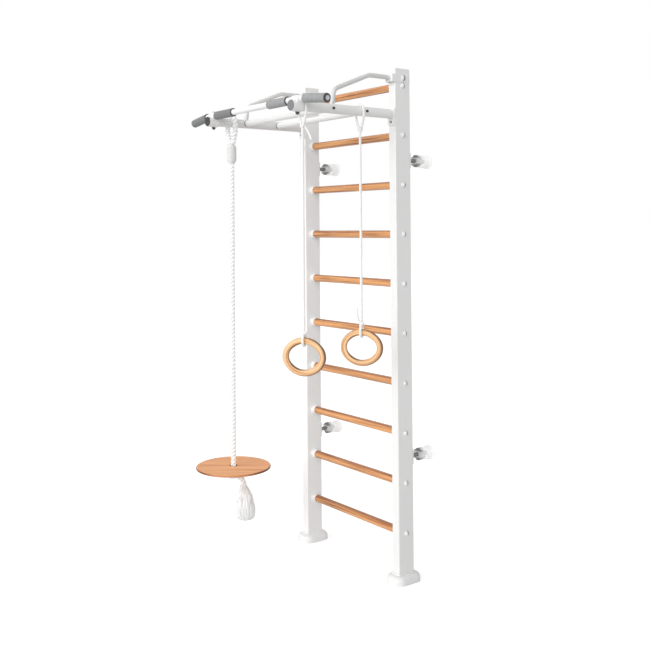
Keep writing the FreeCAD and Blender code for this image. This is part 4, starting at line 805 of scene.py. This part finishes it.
def join_rings(mesh, uv_layer, first, second, low, high):
    """Faces between two rings of points. Their UV is the share of the way round, and low to high."""
    sides = len(first)
    for number in range(sides):
        after = (number + 1) % sides
        face = mesh.faces.new((first[number], first[after], second[after], second[number]))
        corners = ((number, low), (number + 1, low), (number + 1, high), (number, high))
        for loop, (around, along) in zip(face.loops, corners):
            loop[uv_layer].uv = (around / sides, along)


def tube(name, line, section, material, lay=0.0, step=0.003, blunt=0.0):
    """A closed skin along a line. The section gives a radius for each angle and turns once in each lay."""
    points = even_points(line, step)
    mesh = bmesh.new()
    uv_layer = mesh.loops.layers.uv.new("UVMap")
    travelled = [0.0]
    ways = []
    for index, point in enumerate(points):
        before = points[max(0, index - 1)]
        after = points[min(len(points) - 1, index + 1)]
        ways.append((after - before).normalized())
        if index:
            travelled.append(travelled[-1] + (point - before).length)
    rings = []
    side = ways[0].orthogonal().normalized()
    for point, way, gone in zip(points, ways, travelled):
        side = (side - way * side.dot(way)).normalized()
        up = way.cross(side)
        turn = 2 * math.pi * gone / lay if lay else 0
        near = min(gone, travelled[-1] - gone)
        taper = 1
        if near < blunt:
            taper = BLUNT_SHARE + (1 - BLUNT_SHARE) * math.sqrt(max(0.0, 1 - (1 - near / blunt) ** 2))
        ring = []
        for angle, radius in zip(angles(len(section)), section):
            across = side * math.cos(angle + turn) + up * math.sin(angle + turn)
            ring.append(mesh.verts.new(point + across * radius * taper))
        rings.append(ring)
    for first, second, low, high in zip(rings, rings[1:], travelled, travelled[1:]):
        join_rings(mesh, uv_layer, first, second, low, high)
    for ring, inner, flip in ((rings[0], points[0], True), (rings[-1], points[-1], False)):
        middle = mesh.verts.new(inner)
        for number in range(len(section)):
            corners = (ring[number], ring[(number + 1) % len(section)], middle)
            face = mesh.faces.new(reversed(corners) if flip else corners)
            for loop in face.loops:
                loop[uv_layer].uv = (number / len(section), 0 if flip else travelled[-1])
    bmesh.ops.recalc_face_normals(mesh, faces=mesh.faces)
    return new_piece(name, plain_mesh(name, mesh), material)


def round_section(radius, sides):
    return [radius] * sides


def laid_section(radius, strands=3, sides=36):
    """The outline of strands laid together, as a radius for each angle."""
    strand = radius * math.sqrt(3) / (2 + math.sqrt(3))
    away = radius - strand
    part = 2 * math.pi / strands
    outline = []
    for angle in angles(sides):
        off = (angle + part / 2) % part - part / 2
        reach = max(0.0, strand ** 2 - (away * math.sin(off)) ** 2)
        outline.append(max(away * math.cos(off) + math.sqrt(reach), radius * 0.66))
    return outline


def turned(name, profile, centre, way, material, sides):
    """A solid turned round a line. The profile is a list of radius and height."""
    mesh = bmesh.new()
    uv_layer = mesh.loops.layers.uv.new("UVMap")
    heights = [height for _, height in profile]
    low, tall = min(heights), max(heights) - min(heights)
    rotation = Vector((0, 0, 1)).rotation_difference(way)
    rings = []
    for radius, height in profile:
        ring = []
        for angle in angles(sides):
            spot = Vector((math.cos(angle) * radius, math.sin(angle) * radius, height))
            ring.append(mesh.verts.new(centre + rotation @ spot))
        rings.append(ring)
    levels = [(height - low) / tall for height in heights]
    for first, second, here, there in zip(rings, rings[1:] + rings[:1], levels, levels[1:] + levels[:1]):
        join_rings(mesh, uv_layer, first, second, here, there)
    bmesh.ops.recalc_face_normals(mesh, faces=mesh.faces)
    return new_piece(name, plain_mesh(name, mesh), material)


def quarter(radius, level, edge, start, stop, steps):
    """Points of a rounded edge between two angles, as radius and height of a profile."""
    points = []
    for number in range(steps + 1):
        angle = math.pi / 2 * (start + (stop - start) * number / steps)
        points.append((radius + edge * math.cos(angle), level + edge * math.sin(angle)))
    return points


def rounded_sleeve(outer, inner, high, edge, steps=5):
    """The closed profile of a sleeve with soft outer edges."""
    crown = quarter(outer - edge, high - edge, edge, 1, 0, steps)
    foot = quarter(outer - edge, edge, edge, 0, -1, steps)
    return [(inner, 0), (inner, high), *crown, *foot]


def half_turn(centre, radius, x_way, z_sign=1):
    """Control points of a half circle between two upright strands, from one side of x_way to the other."""
    flat = radius * OCTAGON
    corners = [(-radius, -flat), (-radius, flat), (-flat, radius), (flat, radius), (radius, flat),
               (radius, -flat)]
    return [centre + x_way * across + Vector((0, 0, up * z_sign)) for across, up in corners]


def loop_route(arm, bend, drop, left_end, right_end):
    """Control points of a loop over the arm, from the left strand's end to the right one's."""
    over = half_turn(arm, bend, Vector((1, 0, 0)))
    return [left_end, arm + Vector((-bend, 0, -drop)), *over, arm + Vector((bend, 0, -drop)), right_end]


def picture_route(start, thick, shares):
    """Control points across the picture and upwards, as shares of the cord's thickness."""
    return [start + CAMERA_SIDE * (across * thick) + Vector((0, 0, up * thick)) for across, up in shares]


def straight_line(top, low):
    return [top.lerp(low, share / 8) for share in range(9)]


def trefoil(name, centre, radius, thickness, turn, section, material, lay=0.0):
    """A tight overhand knot inside a ball of the given radius."""
    rotation = Matrix.Rotation(turn, 3, "Z") @ Matrix.Rotation(math.radians(72), 3, "X")
    scale = (radius - thickness * 0.45) / 3
    line = []
    for t in angles(96) + [2 * math.pi]:
        reach = 2 + math.cos(3 * t)
        spot = Vector((reach * math.cos(2 * t), reach * math.sin(2 * t), math.sin(3 * t) * 1.5))
        line.append(centre + rotation @ (spot * scale))
    return tube(name, line, section, material, lay, step=0.0015)


def flatten_above(piece, height):
    """Press what stands above a height down to it, as a knot is pressed against a board."""
    for vertex in piece.data.vertices:
        vertex.co.z = min(vertex.co.z, height)


def carried(body, slot, *pieces):
    for piece in pieces:
        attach(piece, body)


def hang(line, diameter):
    """Measure the length of a hanging cord's line, and keep nothing."""
    line_length(line)


# Operators

class Piece:
    """What the operators share."""

    bl_options = {"REGISTER", "UNDO"}

    @property
    def sizes(self):
        return bpy.context.scene.wall_bars_sizes

    @property
    def tones(self):
        return bpy.context.scene.wall_bars_colours

    @property
    def cord_material(self):
        return get_material("white braided cord", braided_fibre, self.tones.cord)


class WALLBARS_OT_camera(Piece, bpy.types.Operator):
    """Set the camera at the photograph's place"""

    bl_idname = "wallbars.camera"
    bl_label = "Camera"

    def execute(self, context):
        camera = linked("camera", bpy.data.cameras.new("camera"))
        yaw = Matrix.Rotation(math.radians(CAMERA_YAW), 4, "Z")
        pitch = Matrix.Rotation(math.radians(90 - CAMERA_PITCH), 4, "X")
        roll = Matrix.Rotation(math.radians(CAMERA_ROLL), 4, "Z")
        camera.matrix_world = Matrix.Translation(CAMERA_PLACE) @ yaw @ pitch @ roll
        camera.data.sensor_width = FILM_WIDTH
        camera.data.lens = FOCAL_PIXELS / PHOTO_PIXELS * FILM_WIDTH
        camera.data.shift_x = (PHOTO_PIXELS / 2 - AXIS_PIXELS[0]) / PHOTO_PIXELS
        camera.data.shift_y = (AXIS_PIXELS[1] - PHOTO_PIXELS / 2) / PHOTO_PIXELS
        camera.data.clip_end = 50
        context.scene.camera = camera
        return {"FINISHED"}


class WALLBARS_OT_swing_rope(Piece, bpy.types.Operator):
    """Make the swing's rope: the loop over the arm, the hanging part, its binding, knot and frayed end"""

    bl_idname = "wallbars.swing_rope"
    bl_label = "Swing rope"

    def execute(self, context):
        pivot = Vector((SWING.x, SWING.y, SWING_PIVOT_Z))
        self.loop(pivot)
        self.hanging(pivot)
        self.end()
        return {"FINISHED"}

    @property
    def rope(self):
        return get_material("off-white rope", twisted_fibre, self.tones.rope)

    def strand(self, name, line, blunt=0.0):
        """A length of the swing's rope."""
        section = laid_section(self.sizes.rope / 2)
        return tube(name, line, section, self.rope, self.sizes.rope_lay, blunt=blunt)

    def loop(self, pivot):
        arm = Vector((SWING.x, SWING.y, ARM_Z))
        bend = ARM_RADIUS + self.sizes.rope / 2 + HANG_GAP
        way = (arm + Vector((bend, 0, -SWING_BEND_DROP)) - pivot).normalized()
        left_end = pivot + Vector((-way.x, 0, way.z)) * SWING_LEFT_REACH
        right_end = pivot + way * SWING_STRAND_REACH
        line = smooth_line(loop_route(arm, bend, SWING_BEND_DROP, left_end, right_end))
        piece = self.strand("swing_loop", line, blunt=0.004)
        carried("swing_hitch_body", "swing_rope", piece)
        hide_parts("swing_hitch")
        hang(list(reversed(line)), self.sizes.rope)

    def hanging(self, pivot):
        top = Vector((pivot.x, pivot.y, ROPE_TOP_Z))
        line = straight_line(top, Vector((pivot.x, pivot.y, DISC_LOW[2] - DISC_GAP)))
        piece = self.strand("swing_line", line)
        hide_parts("swing_rope")
        dome = quarter(0, pivot.z, BINDING_RADIUS, 1, 0, BINDING_DOME_STEPS)[1:]
        foot = [(BINDING_RADIUS, BINDING_LOW_Z + 0.012), (0.0135, BINDING_LOW_Z)]
        binding = self.wound("swing_binding", [(0.004, pivot.z + 0.0195), *dome, *foot], pivot)
        outline = [(POLE, pivot.z + 0.018), (0.012, pivot.z + 0.0145), (0.0185, pivot.z + 0.003),
                   (0.0185, BINDING_LOW_Z + 0.0125), (0.012, BINDING_LOW_Z + 0.0015),
                   (POLE, BINDING_LOW_Z + 0.0015)]
        core = turned("swing_binding_core", outline, Vector((pivot.x, pivot.y, 0)), Vector((0, 0, 1)),
                      self.rope, 32)
        carried("swing_rope_body", "swing_rope", piece, binding, core)
        hang(line, self.sizes.rope)

    def wound(self, name, profile, pivot):
        """Turns of thin cord side by side over a turned profile, by geometry nodes."""
        inset = self.sizes.binding_cord / 2
        holder = curve_through(name, [(radius - inset, 0, height) for radius, height in profile])
        tree = Tree(name + " turns", {"Cord": ("NodeSocketFloat", self.sizes.binding_cord)})
        thick = tree.entry("Cord")
        spots = tree.node("GeometryNodeCurveToPoints", {0: tree.entry("Geometry"), 2: thick}, mode="LENGTH")
        radius, _, height = tree.parts(tree.node("GeometryNodeInputPosition"))
        kept = tree.node("GeometryNodeStoreNamedAttribute", {0: spots, "Name": "reach", "Value": radius},
                         data_type="FLOAT", domain="POINT")
        moved = tree.node("GeometryNodeSetPosition", {
            "Geometry": kept, "Position": tree.join(pivot.x, pivot.y, height)})
        reach = tree.node("GeometryNodeInputNamedAttribute", {"Name": "reach"}, data_type="FLOAT")
        turns = tree.copies(moved, tree.circle(40, 1.0), Scale=tree.join(reach, reach, 1.0))
        tree.sweep(turns, tree.circle(8, thick * 0.52), self.cord_material)
        return bake(holder, tree, self.cord_material)

    def end(self):
        low = DISC_LOW[2]
        thick = self.sizes.rope
        axis = Vector((SWING.x, SWING.y, 0))
        beside = axis + CAMERA_SIDE * TASSEL_ASIDE
        fibre = get_material("frayed rope fibre", loose_fibre, self.tones.rope)
        stopper = trefoil("swing_stopper", axis + Vector((0, 0, low - STOPPER_DROP)), STOPPER_RADIUS,
                          STOPPER_ROPE, 0.6, laid_section(STOPPER_STRAND), self.rope, self.sizes.rope_lay)
        flatten_above(stopper, low - 0.0003)
        line = smooth_line(picture_route(axis + Vector((0, 0, TAIL_Z)), thick, TAIL_SHARES))
        piece = self.strand("swing_tail_rope", line)
        tassel = self.tassel(beside, fibre)
        outline = [(POLE, 0.298), (0.0150, 0.296), (0.0220, 0.283), (0.0300, 0.252), (0.0355, 0.218),
                   (0.0310, 0.193), (POLE, 0.188)]
        skirt = turned("swing_tassel_core", outline, beside, Vector((0, 0, 1)), fibre, 40)
        carried("swing_disc_body", "swing_rope", piece, stopper, tassel, skirt)
        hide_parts("swing_tail")
        hang(line, thick)

    def tassel(self, centre, fibre):
        """The frayed end: one fibre's line, repeated round the axis by geometry nodes."""
        shape = ((0.0130, 0.321), (0.0200, 0.303), (0.0275, 0.280), (0.0345, 0.254), (0.0400, 0.228),
                 (0.0410, 0.206), (0.0385, 0.190), (0.0300, 0.180))
        holder = curve_through("swing_tassel", [(radius, 0, height) for radius, height in shape])
        tree = Tree("tassel fibres", {"Count": ("NodeSocketInt", self.sizes.fibres)})
        spots = tree.node("GeometryNodePoints", {
            "Count": tree.entry("Count"), "Position": (centre.x, centre.y, 0)})
        azimuth = tree.chance(0.0, 2 * math.pi, seed=7)
        spread = tree.chance(0.80, 1.02, seed=11)
        drop = tree.chance(0.970, 1.0, seed=5)
        fibres = tree.copies(spots, tree.entry("Geometry"), Rotation=tree.join(0, 0, azimuth),
                             Scale=tree.join(spread, spread, drop))
        wander = tree.node("ShaderNodeTexNoise", {"Scale": 60.0, "Detail": 1.0}, output=1)
        offset = tree.node("ShaderNodeVectorMath", {0: wander, 1: (-0.5, -0.5, -0.5)}, operation="ADD")
        offset = tree.node("ShaderNodeVectorMath", {0: offset, "Scale": TASSEL_WANDER}, operation="SCALE")
        height = tree.parts(tree.node("GeometryNodeInputPosition"))[2]
        share = tree.node("ShaderNodeMapRange", {0: height, 1: 0.280, 2: 0.320, 3: 0.0, 4: 1.0})
        lean = tree.node("ShaderNodeVectorMath", {0: tuple(CAMERA_SIDE * -TASSEL_LEAN), "Scale": share},
                         operation="SCALE")
        offset = tree.node("ShaderNodeVectorMath", {0: offset, 1: lean}, operation="ADD")
        loose = tree.node("GeometryNodeSetPosition", {"Geometry": fibres, "Offset": offset})
        tree.sweep(loose, tree.circle(4, TASSEL_WIRE), fibre, Fill_Caps=True)
        return bake(holder, tree, fibre)


class WALLBARS_OT_ring_cords(Piece, bpy.types.Operator):
    """Make both rings' cords: the loop over the arm, the hanging part, knots and the turn round the ring"""

    bl_idname = "wallbars.ring_cords"
    bl_label = "Ring cords"

    def execute(self, context):
        for name, spot in RINGS.items():
            self.over_arm(name, spot)
            self.hanging(name, spot)
            self.round_ring(name, spot)
        return {"FINISHED"}

    def strand(self, name, line, step=0.003, blunt=0.0):
        """A length of the rings' cord."""
        section = round_section(self.sizes.cord / 2, 20)
        return tube(name, line, section, self.cord_material, step=step, blunt=blunt)

    def knot(self, name, centre, turn, strand):
        section = round_section(strand, 12)
        return trefoil(name, centre, KNOT_RADIUS, KNOT_CORD, turn, section, self.cord_material)

    def declare(self, piece, line, body, node=None, parts=()):
        carried(body, "ring_cord", piece, *parts)
        if node:
            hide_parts(node)
        hang(line, self.sizes.cord)

    def over_arm(self, name, spot):
        arm = Vector((UPRIGHT_X, spot["y"], ARM_Z))
        bend = ARM_RADIUS + self.sizes.cord / 2 + HANG_GAP
        left_end = arm + Vector((-RING_FOOT_X, 0, -RING_FOOT_DROP))
        right_end = arm + Vector((RING_FOOT_X, 0, -RING_FOOT_DROP))
        line = smooth_line(loop_route(arm, bend, RING_BEND_DROP, left_end, right_end))
        piece = self.strand(name + "_cord_loop", line, step=0.0025)
        self.declare(piece, line, name + "_loop_body", name + "_ring_loop")

    def hanging(self, name, spot):
        knot = Vector((UPRIGHT_X, spot["y"], ARM_Z - RING_KNOT_DROP))
        low = spot["z"] + RING_HALF_HEIGHT + spot["knot_rise"] + KNOT_TOP
        line = straight_line(knot, Vector((knot.x, knot.y, low)))
        piece = self.strand(name + "_cord_line", line)
        upper = self.knot(name + "_upper_knot", knot, 0.9, 0.0042)
        self.declare(piece, line, name + "_cord_body", name + "_ring_cord", [upper])
        if name == "front":
            self.free_end("front_cord_end", knot, FRONT_END_SHARES, "front_cord_body")

    def round_ring(self, name, spot):
        ring_top = spot["z"] + RING_HALF_HEIGHT
        centre = Vector((UPRIGHT_X, spot["y"], ring_top - RING_BAND + RING_WOOD_RADIUS))
        knot = Vector((centre.x, centre.y, ring_top + spot["knot_rise"]))
        bend = RING_WOOD_RADIUS + self.sizes.cord / 2 + HANG_GAP
        through = Vector((math.sin(RING_TURN), -math.cos(RING_TURN), 0))
        route = half_turn(centre, bend, through, -1)
        corner = (knot.z - centre.z) * 0.5
        if corner > bend * OCTAGON + 0.002:
            lifted = centre + Vector((0, 0, corner))
            route = [lifted - through * bend, *route, lifted + through * bend]
        line = smooth_line([knot - through * KNOT_SIDE, *route, knot + through * KNOT_SIDE])
        piece = self.strand(name + "_cord_wrap", line, step=0.002)
        lower = self.knot(name + "_lower_knot", knot, 0.4, 0.0044)
        self.declare(piece, line, name + "_ring_body", name + "_ring_hitch", [lower])
        if name == "rear":
            self.free_end("rear_cord_end", knot, REAR_END_SHARES, "rear_ring_body")

    def free_end(self, name, knot, shares, body):
        line = smooth_line(picture_route(knot, self.sizes.cord, shares))
        piece = self.strand(name, line, step=0.002, blunt=0.002)
        self.declare(piece, line, body)


class WALLBARS_OT_grips(Piece, bpy.types.Operator):
    """Make the four foam grips with soft edges"""

    bl_idname = "wallbars.grips"
    bl_label = "Foam grips"

    def execute(self, context):
        for name in ("left_inner_grip", "right_inner_grip"):
            low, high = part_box(name)
            centre = Vector((low[0], (low[1] + high[1]) / 2, (low[2] + high[2]) / 2))
            self.sleeve(name, centre, Vector((1, 0, 0)), high[0] - low[0])
        for name, sign in (("left_outer_grip", -1), ("right_outer_grip", 1)):
            tip = Vector((BAR_TIP.x * sign, BAR_TIP.y, BAR_TIP.z))
            neck = Vector((BAR_NECK.x * sign, BAR_NECK.y, BAR_NECK.z))
            self.sleeve(name, tip, (neck - tip).normalized(), OUTER_GRIP_LENGTH)
        return {"FINISHED"}

    def sleeve(self, name, start, way, reach):
        material = get_material("gray grip foam", foam, self.tones.foam)
        profile = rounded_sleeve(self.sizes.grip / 2, GRIP_BORE, reach, GRIP_EDGE)
        piece = turned(name + "_foam", profile, start, way, material, 56)
        carried("frame", "gray_foam", piece)
        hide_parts(name)


class WALLBARS_OT_welds(Piece, bpy.types.Operator):
    """Lay the weld beads between arm and plate, and between brace and arm"""

    bl_idname = "wallbars.welds"
    bl_label = "Weld beads"

    def execute(self, context):
        plate_reach, brace_reach = ARM_RADIUS + 0.0002, BRACE_RADIUS + 0.0003
        for side, x in (("left", -UPRIGHT_X), ("right", UPRIGHT_X)):
            plate, foot = [], []
            for t in angles(64):
                spot = Vector((plate_reach * math.cos(t), 0, plate_reach * math.sin(t)))
                plate.append(Vector((x, PLATE_Y, ARM_Z)) + spot)
                across = brace_reach * math.cos(t)
                rise = math.sqrt((ARM_RADIUS + 0.0003) ** 2 - across ** 2)
                lean = (rise - ARM_RADIUS) * 0.2
                spot = Vector((across, brace_reach * math.sin(t) + lean, rise))
                foot.append(Vector((x, BRACE_Y, ARM_Z)) + spot)
            self.bead(side + "_plate_weld", plate, self.sizes.weld)
            self.bead(side + "_brace_weld", foot, self.sizes.weld * 0.85)
        return {"FINISHED"}

    def bead(self, name, line, radius):
        """A bead whose ripples follow the line, by geometry nodes."""
        material = get_material("white powder coat", powder_coat, self.tones.paint)
        holder = curve_through(name, line)
        holder.data.splines[0].use_cyclic_u = True
        tree = Tree(name + " ripples", {"Radius": ("NodeSocketFloat", radius)})
        fine = tree.node("GeometryNodeResampleCurve", {0: tree.entry("Geometry"), 2: 150})
        along = tree.node("GeometryNodeSplineParameter", output=1)
        ripple = along.wave(WELD_RIPPLE) * 0.24 + 0.88
        tree.sweep(fine, tree.circle(8, tree.entry("Radius")), material, Scale=ripple)
        carried("frame", "white_paint", bake(holder, tree, material))


class WALLBARS_OT_finishes(Piece, bpy.types.Operator):
    """Paint every piece that the frame gives"""

    bl_idname = "wallbars.finishes"
    bl_label = "Finishes"

    def execute(self, context):
        finishes = self.by_slot()
        special = self.by_node(finishes["white_bolts"])
        slots = {item["node"]: item["material_slot"] for item in frame["record"]["subparts"]}
        for name, thing in frame["nodes"].items():
            material = special.get(name) or finishes.get(slots[name])
            if not material:
                continue
            for slot in thing.material_slots:
                slot.material = material
        return {"FINISHED"}

    def by_slot(self):
        """The finish of each of the frame's slots, apart from the soft pieces'."""
        tones = self.tones
        return {
            "white_paint": get_material("white powder coat", powder_coat, tones.paint),
            # The white plastic's glow is painted light.
            "white_plastic": moulded("white moulded plastic", tones.plastic, 0.38, 0.02),
            "knob_plastic": knob_plastic(tones.knob, tones.plastic),
            "light_plastic": bar_plug(tones.plug, tones.plug_rim),
            "white_bolts": bolt_paint(tones.paint),
            "black_screws": black_screw(tones.screw),
            "zinc": zinc(tones.zinc_dark, tones.zinc_light),
            "rung_wood": rung_wood(tones.rung_dark, tones.rung_light),
        }

    def by_node(self, bolts):
        """The finishes of single pieces that differ from the rest of their slot."""
        tones = self.tones
        # Painted shade: the braces get a darker copy of the white paint.
        brace = powder_coat(scaled(tones.paint, 0.80), "brace powder coat")
        # The cross tubes carry painted shade where they meet the arms.
        cross_tube = powder_coat(tones.paint, "cross tube powder coat", JOINT_SHADE_X)
        special = {
            "swing_disc": disc_wood(tones.disc_dark, tones.disc_light),
            "arm_end_caps": cap_plastic(tones.cap),
            # Painted light: the wall flanges glow strongly.
            "wall_flanges": moulded("white flange plastic", tones.plastic, 0.35, 0.26),
            # Painted light on the left foot by its glow, and painted shade on the right foot by its darker
            # white.
            "left_foot": moulded("white plastic of the left foot", tones.plastic, 0.38, 0.05),
            "right_foot": moulded("white plastic of the right foot", scaled(tones.plastic, 0.94), 0.38),
            "rung_bolts": bolts,
            "fixing_spindles": threaded_rod(tones.rod_dark, tones.rod_light, tones.groove_shade, tones.plastic),
            # Painted shade: the left arm gets a darker copy of the white paint.
            "left_arm": powder_coat(scaled(tones.paint, 0.87), "left arm powder coat"),
        }
        special.update({side + "_brace": brace for side in ("left", "right")})
        special.update({side + "_cross_tube": cross_tube for side in ("front", "rear")})
        for name, spot in RINGS.items():
            special[name + "_ring"] = ring_wood(name, spot, tones.ring_dark, tones.ring_light)
        return special


class WALLBARS_OT_stage(Piece, bpy.types.Operator):
    """Lay the floor and hang the lights"""

    bl_idname = "wallbars.stage"
    bl_label = "Stage"

    def execute(self, context):
        self.floor()
        self.world(context.scene)
        for name, lamp in LAMPS.items():
            light = bpy.data.lights.new(name, "SUN")
            light.energy = lamp["strength"]
            light.angle = math.radians(lamp["spread"])
            linked(name, light).rotation_euler = Vector(lamp["way"]).to_track_quat("Z", "Y").to_euler()
        context.scene.view_settings.view_transform = "Standard"
        return {"FINISHED"}

    def floor(self):
        mesh = bmesh.new()
        bmesh.ops.create_grid(mesh, x_segments=8, y_segments=8, size=FLOOR_REACH)
        floor = new_piece("floor", plain_mesh("floor", mesh), studio_floor(self.tones.floor))

    def world(self, scene):
        """White to the eye and in gloss, and dimmer as a light."""
        scene.world = bpy.data.worlds.new("studio")
        scene.world.use_nodes = True
        sky = Builder(scene.world.node_tree)
        camera = sky.node("ShaderNodeLightPath", output="Is Camera Ray")
        glossy = sky.node("ShaderNodeLightPath", output="Is Glossy Ray")
        passing = sky.node("ShaderNodeLightPath", output="Is Transmission Ray")
        seen = camera.larger(glossy).larger(passing)
        background = sky.tree.nodes["Background"]
        sky.feed(background.inputs["Color"], (1, 1, 1))
        sky.feed(background.inputs["Strength"],
                 sky.node("ShaderNodeMapRange", {0: seen, 3: WORLD_LIGHT, 4: 1.0}))


STEPS = (WALLBARS_OT_camera, WALLBARS_OT_swing_rope, WALLBARS_OT_ring_cords, WALLBARS_OT_grips,
         WALLBARS_OT_welds, WALLBARS_OT_finishes, WALLBARS_OT_stage)


class WALLBARS_PT_panel(bpy.types.Panel):
    """Lists the steps and the sizes in the sidebar"""

    bl_label = "Wall bars"
    bl_idname = "WALLBARS_PT_panel"
    bl_space_type = "VIEW_3D"
    bl_region_type = "UI"
    bl_category = "Wall bars"

    def draw(self, context):
        layout = self.layout
        for group in (context.scene.wall_bars_sizes, context.scene.wall_bars_colours):
            box = layout.box()
            for name in group.bl_rna.properties.keys():
                if name not in ("rna_type", "name"):
                    box.prop(group, name)
        for step in STEPS:
            layout.operator(step.bl_idname)


CLASSES = (WallBarsSizes, WallBarsColours, *STEPS, WALLBARS_PT_panel)


def register():
    for item in CLASSES:
        bpy.utils.register_class(item)
    bpy.types.Scene.wall_bars_sizes = PointerProperty(type=WallBarsSizes)
    bpy.types.Scene.wall_bars_colours = PointerProperty(type=WallBarsColours)


def unregister():
    del bpy.types.Scene.wall_bars_colours
    del bpy.types.Scene.wall_bars_sizes
    for item in reversed(CLASSES):
        bpy.utils.unregister_class(item)


def main():
    """Register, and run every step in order."""
    register()
    for step in STEPS:
        getattr(bpy.ops.wallbars, step.bl_idname.split(".")[1])()


if __name__ == "__main__":
    main()
